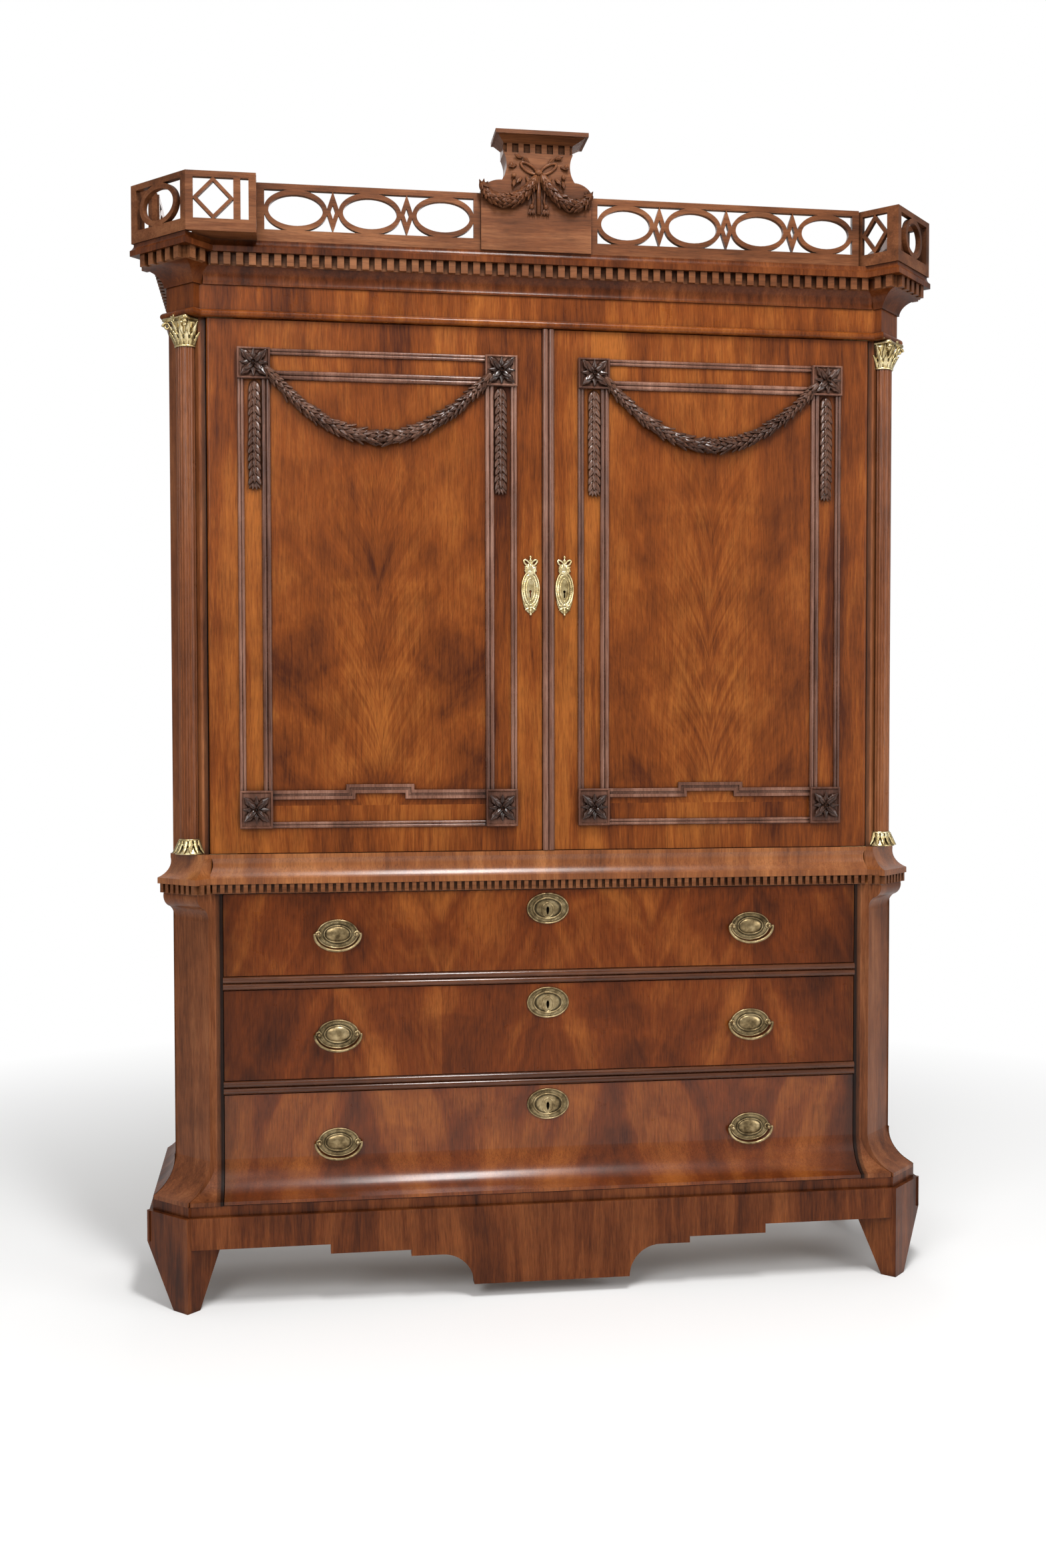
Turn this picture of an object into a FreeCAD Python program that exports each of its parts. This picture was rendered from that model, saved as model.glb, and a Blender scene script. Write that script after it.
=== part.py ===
import FreeCAD, Part
import math
import os
import re
from types import SimpleNamespace

# A two-part linen press: a chest of three long drawers carries a press with two doors,
# canted corners with columns, a dentilled cornice, a pierced gallery and a carved crest.
# Millimetres. X runs to the right, Y to the back, Z up. In the pieces' own places y is 0
# at the face of the drawers and doors; the cell front_y then centres the whole in depth.

doc = FreeCAD.newDocument("linen_press")
sheet = doc.addObject("Spreadsheet::Sheet", "Sizes")
Vector = FreeCAD.Vector
UP = Vector(0, 0, 1)
ACROSS = Vector(1, 0, 0)
BACK = Vector(0, 1, 0)

# Driving dimensions, one to a line: the cell's alias and its number.
DRIVING = (
    # the two cases
    ("case_half", 843),
    ("case_depth", 430),
    ("chest_ease", 12),
    ("waist_ease", 1),
    ("press_ease", 4),
    ("side_board", 20),
    ("flat_board", 20),
    ("back_board", 12),
    ("overrun", 5),
    # the square blocks set at 45 degrees on the front corners
    ("cant_angle", 45),
    ("block_set", 41),
    ("block_y", 27),
    ("block_half", 56),
    ("block_depth", 36),
    # feet, plinth and shaped apron
    ("foot_height", 139),
    ("foot_top_depth", 104),
    ("foot_tip_width", 46),
    ("foot_tip_depth", 36),
    ("rear_foot_width", 70),
    ("rear_foot_tip", 46),
    ("rail_height", 70),
    ("rail_thick", 26),
    ("plinth_out", 67),
    ("plinth_block_out", 77),
    ("plinth_block_half", 66),
    ("bead_height", 23),
    ("bead_out", 56),
    ("bead_block_out", 66),
    ("bead_block_half", 59),
    ("apron_drop_half", 178),
    ("apron_cove", 71),
    ("apron_low_half", 319),
    ("apron_low_drop", 35),
    ("apron_high_half", 498),
    ("apron_high_drop", 21),
    # the sweep of the bottom drawer, stiles and corner pilasters
    ("flare_height", 89),
    ("flare_lip", 9),
    ("flare_out", 58),
    ("flare_block_out", 66),
    ("skirt_edge", 2),
    # drawers
    ("drawer_set", 72),
    ("drawer_gap", 1.5),
    ("drawer_low_height", 233),
    ("drawer_mid_height", 204),
    ("drawer_top_height", 186),
    ("divider_height", 30),
    ("divider_depth", 50),
    ("dust_board", 12),
    ("drawer_front_thick", 22),
    ("drawer_side", 12),
    ("drawer_side_gap", 3),
    ("drawer_end_gap", 33),
    ("drawer_side_drop", 16),
    ("drawer_floor", 8),
    ("drawer_floor_rise", 8),
    ("drawer_lift", 0.5),
    ("guide_width", 16),
    ("guide_height", 14),
    ("guide_gap", 1),
    # oval plates, bails and keyhole plates
    ("handle_x", 478),
    ("handle_low_rise", 118),
    ("handle_mid_rise", 100),
    ("handle_top_rise", 92),
    ("plate_half", 46),
    ("plate_half_height", 32),
    ("plate_thick", 2),
    ("dome_half", 28),
    ("dome_half_height", 17),
    ("dome_rise", 4),
    ("post_x", 43),
    ("post_radius", 4.5),
    ("post_out", 15),
    ("bail_y", 11),
    ("bail_half", 51.5),
    ("bail_drop", 37),
    ("bail_radius", 3.2),
    ("pin_radius", 2),
    ("pin_clearance", 0.08),
    ("pin_reach", 6),
    ("keyplate_half", 48),
    ("keyplate_half_height", 35),
    ("keyplate_drop", 43),
    ("keyhole_radius", 3),
    ("keyhole_slot", 14),
    ("lock_width", 64),
    ("lock_height", 64),
    ("lock_thick", 11),
    ("lock_wall", 2),
    ("bolt_width", 22),
    ("bolt_thick", 6),
    ("bolt_length", 30),
    ("bolt_travel", 9),
    ("bolt_clearance", 0.4),
    # the moulding at the waist
    ("band_height", 2),
    ("waist_dentil_height", 20),
    ("waist_bed", 3),
    ("waist_block_bed", 30),
    ("waist_dentil_rise", 8),
    ("dentil_web", 2),
    ("waist_dentil_pitch", 17),
    ("waist_dentil_tooth", 9.5),
    ("waist_height", 66),
    ("waist_lip", 13),
    ("waist_fillet", 9),
    ("waist_out", 15),
    ("waist_top_out", 4),
    ("waist_block_out", 42),
    ("waist_block_top_out", 9),
    ("waist_spread", 6),
    ("bracket_height", 62),
    ("bracket_out", 30),
    ("bracket_mid_out", 12),
    # the press
    ("door_set", 44),
    ("door_meeting", 12),
    ("door_gap", 1.5),
    ("door_thick", 26),
    ("door_height", 1180),
    ("pivot_inset", 6),
    ("pivot_radius", 4),
    ("pivot_clearance", 0.08),
    ("pivot_length", 12),
    ("pivot_plate_length", 60),
    ("pivot_plate_width", 14),
    ("post_gap", 2),
    ("post_set", 8),
    ("post_cant_set", 6),
    ("post_depth", 46),
    ("post_side", 24),
    ("board_set", 2),
    ("column_radius", 21),
    ("flute_count", 20),
    ("neck_swell", 2),
    ("capital_height", 64),
    ("capital_half", 38),
    ("capital_abacus", 7),
    ("column_base_height", 34),
    ("column_base_half", 33),
    ("shelf_thick", 18),
    ("shelf_set", 44),
    ("batten", 22),
    # entablature
    ("architrave_height", 24),
    ("architrave_out", 8),
    ("architrave_fillet", 8),
    ("cove_fillet", 4),
    ("frieze_height", 46),
    ("frieze_out", 4),
    ("frieze_block_out", 17),
    ("frieze_block_half", 44),
    ("frieze_thick", 22),
    ("cove_height", 38),
    ("cove_out", 20),
    ("cove_block_out", 62),
    ("cove_block_half", 70),
    ("cornice_dentil_height", 26),
    ("cornice_dentil_rise", 11),
    ("cornice_dentil_pitch", 27.3),
    ("cornice_dentil_tooth", 15),
    ("corona_height", 27),
    ("corona_out", 38),
    ("corona_edge", 32),
    ("corona_block_out", 80),
    ("corona_block_half", 90),
    ("corona_lip", 12),
    # gallery
    ("gallery_height", 126),
    ("gallery_out", 30),
    ("gallery_thick", 12),
    ("gallery_foot_rail", 26),
    ("gallery_top_rail", 13),
    ("gallery_post", 16),
    ("gallery_bar", 10),
    ("gallery_lozenge", 15),
    ("gallery_left_set", 157),
    ("pedestal_out", 77),
    ("pedestal_half", 88),
    ("pedestal_front", 149),
    ("pedestal_return", 92.5),
    ("pedestal_bar", 15),
    ("pedestal_gap", 33),
    ("pedestal_floor", 5),
    ("fret_sink", 1.5),
    ("gallery_right_set", 80),
    ("gallery_side_start", 81),
    ("pedestal_side_return", 52.5),
    # crest
    ("crest_x", -30),
    ("crest_half", 124),
    ("crest_out", 38),
    ("crest_thick", 60),
    ("crest_ledge", 4),
    ("crest_ledge_rise", 21),
    ("crest_neck_shift", 4.5),
    ("crest_plate_shift", 9),
    ("crest_swag_rise", 172),
    ("crest_shoulder", 134),
    ("crest_neck_half", 78),
    ("crest_neck_height", 216),
    ("crest_reed_height", 20),
    ("crest_reed_depth", 8),
    ("crest_cap_height", 11),
    ("crest_plate", 9),
    ("crest_plate_half", 104),
    ("crest_plate_over", 30),
    ("crest_plate_lip", 6),
    ("crest_reed", 26),
    # carved work
    ("carving_out", 10),
    ("swag_radius", 11),
    # door frames
    ("frame_set", 67),
    ("frame_meeting_x", 70),
    ("frame_top_drop", 64),
    ("frame_bottom_rise", 57),
    ("frame_width", 72),
    ("frame_block_top", 68),
    ("frame_block_low", 84),
    ("frame_block_out", 11),
    ("bead_strip", 14),
    ("bead_strip_base", 3),
    ("inner_strip", 20),
    ("frame_step", 13),
    ("frame_step_half", 76),
    ("frame_ridge", 7),
    ("frame_ridge_out", 6),
    ("rosette_radius", 27),
    ("rosette_out", 5),
    ("rosette_boss", 11),
    ("drop_length", 240),
    ("swag_sag", 108),
    ("swag_margin", 18),
    ("drop_half", 12),
    ("drop_gap", 4),
    ("astragal_width", 27),
    # door locks and bolts
    ("lock_rise", 589),
    ("door_lock_width", 74),
    ("door_lock_height", 110),
    ("door_bolt_height", 24),
    ("scutcheon_half", 20),
    ("scutcheon_half_height", 50),
    ("scutcheon_x", 39),
    ("scutcheon_crest", 14),
    ("rod_radius", 4),
    ("rod_length", 130),
    ("rod_x", 45),
    ("rod_stand", 8),
    ("rod_set", 2),
    ("rod_clearance", 0.4),
    ("bracket_wide", 16),
    ("bracket_tall", 10),
    ("keeper_width", 18),
    ("keeper_set", 3),
    ("keeper_wall", 5),
    ("door_bolt_rise", 16),
)

# Sizes that follow from the driving ones, as formulas of the same sheet.
DERIVED = (
    ("reach_past", "5 * block_half"),
    ("block_x", "case_half - block_set"),
    ("drawer_half", "block_x - drawer_set"),
    ("door_half", "block_x - door_set"),
    ("frame_x", "door_half - frame_set"),
    ("gallery_inner", "block_x - gallery_left_set"),
    ("gallery_right_end", "block_x - gallery_right_set"),
    ("drawer_length", "case_depth - back_board - drawer_end_gap"),
    ("shelf_pitch", "(door_height - 2 * flat_board) / 4"),
    ("plinth_top", "foot_height + rail_height"),
    ("chest_floor", "plinth_top + bead_height"),
    ("low_top", "chest_floor + drawer_low_height"),
    ("mid_floor", "low_top + divider_height"),
    ("mid_top", "mid_floor + drawer_mid_height"),
    ("top_floor", "mid_top + divider_height"),
    ("chest_top", "top_floor + drawer_top_height"),
    ("waist_low", "chest_top + band_height + waist_dentil_height"),
    ("press_floor", "waist_low + waist_height"),
    ("press_top", "press_floor + door_height"),
    ("lock_z", "press_floor + lock_rise"),
    ("frieze_low", "press_top + architrave_height"),
    ("cove_low", "frieze_low + frieze_height"),
    ("cove_top", "cove_low + cove_height"),
    ("corona_low", "cove_top + cornice_dentil_height"),
    ("corona_top", "corona_low + corona_height"),
    ("pedestal_reach", "(pedestal_out + pedestal_half) * sqrt(0.5) - block_y"),
    ("pedestal_left_edge", "block_x - (pedestal_half - pedestal_out) * sqrt(0.5)"),
    ("corona_reach", "(corona_block_out + corona_block_half) * sqrt(0.5) - block_y"),
    ("front_y", "(corona_reach - case_depth) / 2"),
    ("pivot_x", "door_half - pivot_inset"),
    ("inner_half", "case_half - side_board"),
    ("inner_depth", "case_depth - back_board"),
    ("column_length", "door_height - column_base_height - capital_height"),
)


def with_sheet(text):
    """The same formula with each alias led by the sheet's name."""
    return re.sub(r"\b(?!sqrt)[a-z_]+\b", lambda word: "Sizes." + word.group(0), text)


def fill_sheet():
    """Write every cell and give back the values by name."""
    rows = list(DRIVING) + list(DERIVED)
    for row, (alias, content) in enumerate(rows, start=1):
        text = "=" + content if isinstance(content, str) else str(content)
        sheet.set("A%d" % row, alias)
        sheet.set("B%d" % row, text)
        sheet.setAlias("B%d" % row, alias)
    doc.recompute()
    return SimpleNamespace(**{alias: float(sheet.get(alias)) for alias, _ in rows})


size = fill_sheet()
nodes = []


def place(piece, x="", y="", z="", turn=0.0, axis=UP):
    """Turn a piece about one axis, then bind its place to the sheet."""
    piece.Placement = FreeCAD.Placement(Vector(), FreeCAD.Rotation(axis, turn))
    for letter, text in (("x", x), ("y", y), ("z", z)):
        if text:
            piece.setExpression("Placement.Base." + letter, with_sheet(text))
    return piece


def box(name, length, width, height, x="", y="", z=""):
    piece = doc.addObject("Part::Box", name)
    for prop, text in (("Length", length), ("Width", width), ("Height", height)):
        piece.setExpression(prop, with_sheet(text))
    return place(piece, x, y, z)


def cylinder(name, radius, height, x="", y="", z="", turn=0.0, axis=UP):
    piece = doc.addObject("Part::Cylinder", name)
    piece.setExpression("Radius", with_sheet(radius))
    piece.setExpression("Height", with_sheet(height))
    return place(piece, x, y, z, turn, axis)


def dome(name, across, high, rise, x="", y="", z=""):
    """Half an ellipsoid that stands out to the front."""
    piece = doc.addObject("Part::Ellipsoid", name)
    piece.setExpression("Radius1", with_sheet(rise))
    piece.setExpression("Radius2", with_sheet(across))
    piece.setExpression("Radius3", with_sheet(high))
    piece.Angle1 = 0
    return place(piece, x, y, z, 90.0, ACROSS)


def cut(name, base, *tools):
    for count, tool in enumerate(tools):
        piece = doc.addObject("Part::Cut", "%s_cut_%d" % (name, count))
        piece.Base = base
        piece.Tool = tool
        base = piece
    return base


def common(name, base, tool):
    piece = doc.addObject("Part::Common", name)
    piece.Base = base
    piece.Tool = tool
    return piece


def fuse(name, *pieces):
    piece = doc.addObject("Part::MultiFuse", name)
    piece.Shapes = list(pieces)
    return piece


def group(name, *pieces):
    piece = doc.addObject("Part::Compound", name)
    piece.Links = list(pieces)
    return piece


def node(name, *pieces):
    """A named sub-part: its separate solids, set at the object's place in depth."""
    piece = group(name, *pieces)
    piece.setExpression("Placement.Base.y", with_sheet("front_y"))
    nodes.append(piece)
    return piece


def outline_edges(points):
    """Edges round a closed outline. Each point is (across, up, bulge), and the bulge is
    the sagitta of the stretch that leads to the next point, as a share of its chord."""
    edges = []
    for here, there in zip(points, points[1:] + points[:1]):
        start = Vector(here[0], here[1], 0)
        end = Vector(there[0], there[1], 0)
        chord = end - start
        if here[2]:
            middle = (start + end) / 2 + Vector(-chord.y, chord.x, 0) * here[2]
            edges.append(Part.Arc(start, middle, end))
        else:
            edges.append(Part.LineSegment(start, end))
    return edges


def pad(name, plane, points, length, both_ways=False):
    """A body with one sketched outline on a plane of its own and one pad."""
    body = doc.addObject("PartDesign::Body", name)
    sketch = body.newObject("Sketcher::SketchObject", name + "_outline")
    origin = [item for item in body.Origin.OriginFeatures if item.Role == plane]
    sketch.AttachmentSupport = [(origin[0], "")]
    sketch.MapMode = "FlatFace"
    sketch.addGeometry(outline_edges(points))
    feature = body.newObject("PartDesign::Pad", name + "_pad")
    feature.Profile = sketch
    feature.setExpression("Length", with_sheet(length))
    feature.SideType = "Symmetric" if both_ways else "One side"
    return body


def at_corner(name, piece, side):
    """A piece made round a block's own centre line, set on the right (1) or left (-1)
    front corner, with its front turned outwards."""
    turned = group(name, piece)
    place(turned, "block_x" if side > 0 else "-block_x", "block_y", "", side * size.cant_angle)
    return turned


def both_corners(name, piece):
    return [at_corner("%s_%s" % (name, word), piece, side) for word, side in SIDES]


SIDES = (("left", -1), ("right", 1))
SIGN = {"left": "-", "right": ""}
cove_share = 0.15
ovolo_share = 0.2


def block(name, levels, spreads):
    """A corner block: its front outline and its two end outlines, common to both.
    levels holds (out, height, bulge) from the bottom up, spreads (half width, height, bulge)."""
    back = size.block_depth
    low = levels[0][1]
    high = levels[-1][1]
    front = [(-out, up, -bulge) for out, up, bulge in levels]
    front += [(back, high, 0), (back, low, 0)]
    ends = [(half, up, bulge) for half, up, bulge in spreads]
    turned = list(reversed(spreads))
    for index, (half, up, _) in enumerate(turned):
        bulge = turned[index + 1][2] if index + 1 < len(turned) else 0
        ends.append((-half, up, bulge))
    front_body = pad(name + "_front", "YZ_Plane", front, "4 * block_half", True)
    ends_body = pad(name + "_ends", "XZ_Plane", ends, "6 * block_half", True)
    return common(name + "_block", front_body, ends_body)


def ahead_of(name, levels):
    """All that lies in front of a corner block's outline."""
    points = [(-out, up, -bulge) for out, up, bulge in levels]
    points += [(-size.reach_past, levels[-1][1], 0), (-size.reach_past, levels[0][1], 0)]
    return pad(name, "YZ_Plane", points, "4 * block_half", True)


def swell(levels, step):
    """The same outline standing out further."""
    return [(out + step, up, bulge) for out, up, bulge in levels]


def straight_front(name, levels, back, trims):
    """A moulding along the front, ended at the corner blocks."""
    points = [(-out, up, -bulge) for out, up, bulge in levels]
    points += [(back, levels[-1][1], 0), (back, levels[0][1], 0)]
    body = pad(name, "YZ_Plane", points, "2 * block_x", True)
    return cut(name, body, *trims)


def straight_side(name, levels, back, side, trims):
    """The same moulding along one side of the case."""
    points = [(-out, up, -bulge) for out, up, bulge in levels]
    points += [(back, levels[-1][1], 0), (back, levels[0][1], 0)]
    body = pad(name, "YZ_Plane", points, "case_depth")
    if side > 0:
        place(body, "case_half", "", "", 2 * size.cant_angle)
    else:
        place(body, "-case_half", "case_depth", "", -2 * size.cant_angle)
    return cut(name, body, *trims)


def half_space(name, first, last):
    """All that lies past one end plane of a corner block, in the block's own frame."""
    return box(name, "%s - (%s)" % (last, first), "2 * reach_past", "corona_top + gallery_height",
               first, "-reach_past", "-overrun")


def trims_at(name, half):
    """What ends the front and the side pieces at a block of the given half width."""
    left = half_space(name + "_past_left", "-" + half, "reach_past")
    right = half_space(name + "_past_right", "-reach_past", half)
    front = [at_corner(name + "_front_right", left, 1), at_corner(name + "_front_left", right, -1)]
    sides = {1: at_corner(name + "_side_right", right, 1), -1: at_corner(name + "_side_left", left, -1)}
    return front, sides


BLOCK_TRIMS = trims_at("block_trim", "block_half")
FRONT_TRIMS, SIDE_TRIMS = BLOCK_TRIMS


def ring(name, levels, block_levels, spreads, backs, ease, trims=BLOCK_TRIMS):
    """A moulding on the front, both sides and both corner blocks of the case. backs holds
    how deep it runs in front and at the sides, where it stands out less by ease."""
    corners = both_corners(name + "_corner", block(name, block_levels, spreads))
    fore = both_corners(name + "_fore", ahead_of(name + "_ahead", block_levels))
    front = straight_front(name + "_front", levels, backs[0], trims[0] + corners)
    sides = [straight_side("%s_%s_side" % (name, word), swell(levels, -ease), backs[1], side,
                           [trims[1][side], corner, space])
             for (word, side), corner, space in zip(SIDES, corners, fore)]
    return [front] + sides + corners


def notch(name, low, height, half="block_half"):
    """The corner posts' own space, which boards that run behind them leave free."""
    piece = box(name, "2 * " + half, "block_depth + reach_past", height, "-" + half, "-reach_past", low)
    return both_corners(name + "_at", piece)


def bead_section(width, base, beads):
    """A flat strip with half-round beads side by side on its face."""
    pitch = width / beads
    points = [(0, 0, 0)]
    for count in range(beads):
        points.append((count * pitch, -base, bead_share))
    points.append((width, -base, 0))
    points.append((width, 0, 0))
    return points


bead_share = -0.38


def upright_strip(name, width, beads, x, z, length):
    """A beaded strip that runs up, its left edge at x."""
    body = pad(name, "XY_Plane", bead_section(width, size.bead_strip_base, beads), length)
    return place(body, x, "", z)


def level_strip(name, width, beads, x, z, length):
    """A beaded strip that runs to the right, its top edge at z."""
    body = pad(name, "XY_Plane", bead_section(width, size.bead_strip_base, beads), length)
    return place(body, x, "", z, 90.0, BACK)


def comb(name, length, pitch, tooth, out, root, back, height):
    """A dentil strip: square teeth on a plain ground, in plan, drawn up to its height."""
    count = max(1, int((length + pitch - tooth) // pitch))
    start = -(count * pitch - (pitch - tooth)) / 2
    points = [(-length / 2, -back, 0), (-length / 2, -root, 0)]
    for index in range(count):
        left = start + index * pitch
        points += [(left, -root, 0), (left, -out, 0), (left + tooth, -out, 0), (left + tooth, -root, 0)]
    points += [(length / 2, -root, 0), (length / 2, -back, 0)]
    return pad(name, "XY_Plane", points, height)


def dentils(name, low, height, pitch, tooth, beds, half, rise):
    """Dentil strips on the front, the sides and the faces of each corner block. beds holds
    how far the ground stands out in front, at the sides and on a block of the given half width."""
    diagonal = math.sqrt(2)
    main, flank, corner = beds
    web = size.dentil_web

    def strip(tag, length, bed):
        return comb("%s_%s" % (name, tag), length, pitch, tooth, bed + web + rise, bed + web, bed, height)

    run = size.block_x + size.block_y - half * diagonal + main
    strips = [place(strip("front", 2 * run, main), "", "", low)]
    start = size.block_y + size.block_x + half * diagonal - size.case_half - flank
    length = size.case_depth - start
    for word, side in SIDES:
        piece = strip(word, length, flank)
        place(piece, SIGN[word] + "case_half", "", low, 2 * side * size.cant_angle)
        piece.Placement.Base.y = start + length / 2
        strips.append(piece)
    face = place(strip("face", 2 * half, corner), "", "", low)
    for word, side in SIDES:
        pieces = [face]
        for tag, turn, past in (("inner", -side, size.block_y + main),
                                ("outer", side, size.case_half - size.block_x + flank)):
            meet = (past + web + rise) * diagonal - half
            if corner - meet > tooth:
                end = strip("%s_%s" % (word, tag), corner - meet, half)
                place(end, "", "", low, 2 * turn * size.cant_angle)
                end.Placement.Base.y = -(corner + meet) / 2
                pieces.append(end)
        strips.append(at_corner("%s_at_%s" % (name, word), group("%s_%s_faces" % (name, word), *pieces),
                                side))
    return strips


def chest_shell():
    """Sides, back, bottom and the corner pilasters of the chest."""
    side_pieces = []
    beads = notch("bead_notch", "plinth_top", "bead_height", "bead_block_half")
    for (word, side), corner in zip(SIDES, beads):
        board = box("chest_%s_board" % word, "side_board", "case_depth", "chest_top - plinth_top",
                    "inner_half" if side > 0 else "-case_half", "", "plinth_top")
        side_pieces.append(cut("chest_%s_side" % word, board, SIDE_TRIMS[side], corner))
    node("chest_sides", *side_pieces)
    node("chest_back", box("chest_back_board", "2 * inner_half", "back_board",
                           "press_floor - plinth_top", "-inner_half", "inner_depth", "plinth_top"))
    floor = box("chest_floor_board", "2 * inner_half", "inner_depth - rail_thick",
                "flat_board", "-inner_half", "rail_thick", "chest_floor - flat_board")
    node("chest_bottom", cut("chest_bottom", floor, *beads))


def flare_levels(out):
    """The sweep from a flat face to its foot, then a short lip, from the bottom up."""
    low = size.chest_floor
    knee = low + size.flare_lip
    return [(out, low, 0), (out, knee, cove_share), (0, low + size.flare_height, 0)]


def corner_pilasters():
    """Flat canted pilasters: a sweep at the foot and a small bracket under the waist."""
    top = size.chest_top
    knee = top - size.bracket_height / 2
    levels = flare_levels(size.flare_block_out)
    levels += [(0, top - size.bracket_height, cove_share), (size.bracket_mid_out, knee, -ovolo_share),
               (size.bracket_out, top, 0)]
    spreads = [(size.block_half, size.chest_floor, 0), (size.block_half, top, 0)]
    pilaster = block("pilaster", levels, spreads)
    node("corner_pilasters", *both_corners("pilaster", pilaster))


def front_stiles():
    """The narrow uprights between the drawers and the pilasters, swept at the foot."""
    levels = flare_levels(size.flare_out) + [(0, size.chest_top, 0)]
    points = [(-out, up, -bulge) for out, up, bulge in levels]
    points += [(size.drawer_front_thick, size.chest_top, 0), (size.drawer_front_thick, size.chest_floor, 0)]
    pieces = []
    for (word, side), trim in zip(SIDES, reversed(FRONT_TRIMS)):
        body = pad("%s_stile" % word, "YZ_Plane", points, "block_x - drawer_half")
        place(body, "drawer_half + drawer_gap" if side > 0 else "-block_x - drawer_gap")
        pieces.append(cut("%s_stile" % word, body, trim))
    node("front_stiles", *pieces)


def plinth():
    """Front rail with the shaped apron, side rails and corner blocks, with a small cove on top."""
    low = size.foot_height
    top = size.plinth_top
    floor = size.chest_floor
    rail = [(size.plinth_block_out, low, 0), (size.plinth_block_out, top, 0)]
    corners = both_corners("plinth_corner", block("rail", rail, [(size.plinth_block_half, low, 0),
                                                                 (size.plinth_block_half, top, 0)]))
    outline = [(-size.block_x, top, 0), (-size.block_x, low, 0)]
    half = [(size.apron_high_half, low, 0), (size.apron_high_half, low - size.apron_high_drop, 0),
            (size.apron_low_half, low - size.apron_high_drop, 0),
            (size.apron_low_half, low - size.apron_low_drop, 0),
            (size.apron_drop_half + size.apron_cove, low - size.apron_low_drop, quarter_share),
            (size.apron_drop_half, low - size.apron_low_drop - size.apron_cove, 0)]
    right = [(x, z, 0) for x, z, _ in reversed(half)]
    right[1] = (right[1][0], right[1][1], 0)
    right[0] = (right[0][0], right[0][1], quarter_share)
    outline += [(-x, z, bulge) for x, z, bulge in half] + right
    outline += [(size.block_x, low, 0), (size.block_x, top, 0)]
    apron = pad("apron_board", "XZ_Plane", outline, "rail_thick")
    place(apron, "", "rail_thick - plinth_out")
    front = cut("apron", apron, *(FRONT_TRIMS + corners))
    node("apron_rail", front)
    ease = size.chest_ease
    levels = [(size.plinth_out - ease, low, 0), (size.plinth_out - ease, top, 0)]
    thick = size.rail_thick + ease - size.plinth_out
    sides = [straight_side("plinth_%s_rail" % word, levels, thick, side, [SIDE_TRIMS[side], corner])
             for (word, side), corner in zip(SIDES, corners)]
    rails = sides + corners
    rails += ring("bead", [(size.bead_out, top, 0), (size.bead_out, floor, 0)],
                  [(size.bead_block_out, top, 0), (size.bead_block_out, floor, 0)],
                  [(size.bead_block_half, top, 0), (size.bead_block_half, floor, 0)],
                  (size.rail_thick, 0), ease)
    sweep = flare_levels(size.flare_out - ease)
    sweep[-1] = (size.skirt_edge, sweep[-1][1], 0)
    skirts = [straight_side("%s_skirt" % word, sweep, 0, side, [SIDE_TRIMS[side]])
              for word, side in SIDES]
    node("plinth_rails", *(rails + skirts))


quarter_share = 0.2071


def taper(name, top, tip, low, high):
    """A square piece that narrows between two heights; top and tip hold left, right, front, back."""
    rings = []
    for (left, right, front, back), z in ((tip, low), (top, high)):
        rings.append(Part.makePolygon([Vector(left, front, z), Vector(right, front, z),
                                       Vector(right, back, z), Vector(left, back, z),
                                       Vector(left, front, z)]))
    piece = doc.addObject("Part::Feature", name)
    piece.Shape = Part.makeLoft(rings, True, True)
    return piece


def feet():
    """Two square feet set at 45 degrees in front, tapered on their inner faces, two behind."""
    half = size.plinth_block_half
    out = -size.plinth_block_out
    front = []
    for word, side in SIDES:
        inner = side * -half
        tip = inner + side * size.foot_tip_width
        limits = sorted((inner, -inner)) + [out, out + size.foot_top_depth]
        tips = sorted((inner, tip)) + [out, out + size.foot_tip_depth]
        foot = taper("%s_front_foot" % word, limits, tips, 0, size.foot_height)
        front.append(at_corner("%s_front_foot_at" % word, foot, side))
    node("front_feet", *front)
    rear = foot_blocks()
    for word, side in SIDES:
        outer = side * size.case_half
        inner = outer - side * size.rear_foot_width
        tip = outer - side * size.rear_foot_tip
        back = size.case_depth
        limits = sorted((outer, inner)) + [back - size.rear_foot_width, back]
        tips = sorted((outer, tip)) + [back - size.rear_foot_tip, back]
        rear.append(taper("%s_rear_foot" % word, limits, tips, 0, size.foot_height))
    node("rear_feet", *rear)


def foot_blocks():
    """The square blocks that carry the rear feet under the case."""
    blocks = []
    for word, side in SIDES:
        x = "case_half - rear_foot_width" if side > 0 else "-case_half"
        blocks.append(box("%s_foot_block" % word, "rear_foot_width", "rear_foot_width", "rail_height",
                          x, "case_depth - rear_foot_width", "foot_height"))
    return blocks


def rail_behind(name, z, height):
    """A rail behind the line of the drawer fronts, in three lengths round the mortise that
    the bolt of the lock below rises into."""
    wide = "bolt_width / 2 + bolt_clearance"
    length = "drawer_half + drawer_gap - (%s)" % wide
    deep = "divider_depth - drawer_front_thick"
    return [box(name + "_left", length, deep, height, "-drawer_half - drawer_gap", "drawer_front_thick", z),
            box(name + "_right", length, deep, height, wide, "drawer_front_thick", z),
            box(name + "_middle", "2 * (%s)" % wide, deep + " - lock_thick", height, "-(%s)" % wide,
                "drawer_front_thick + lock_thick", z)]


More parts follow.
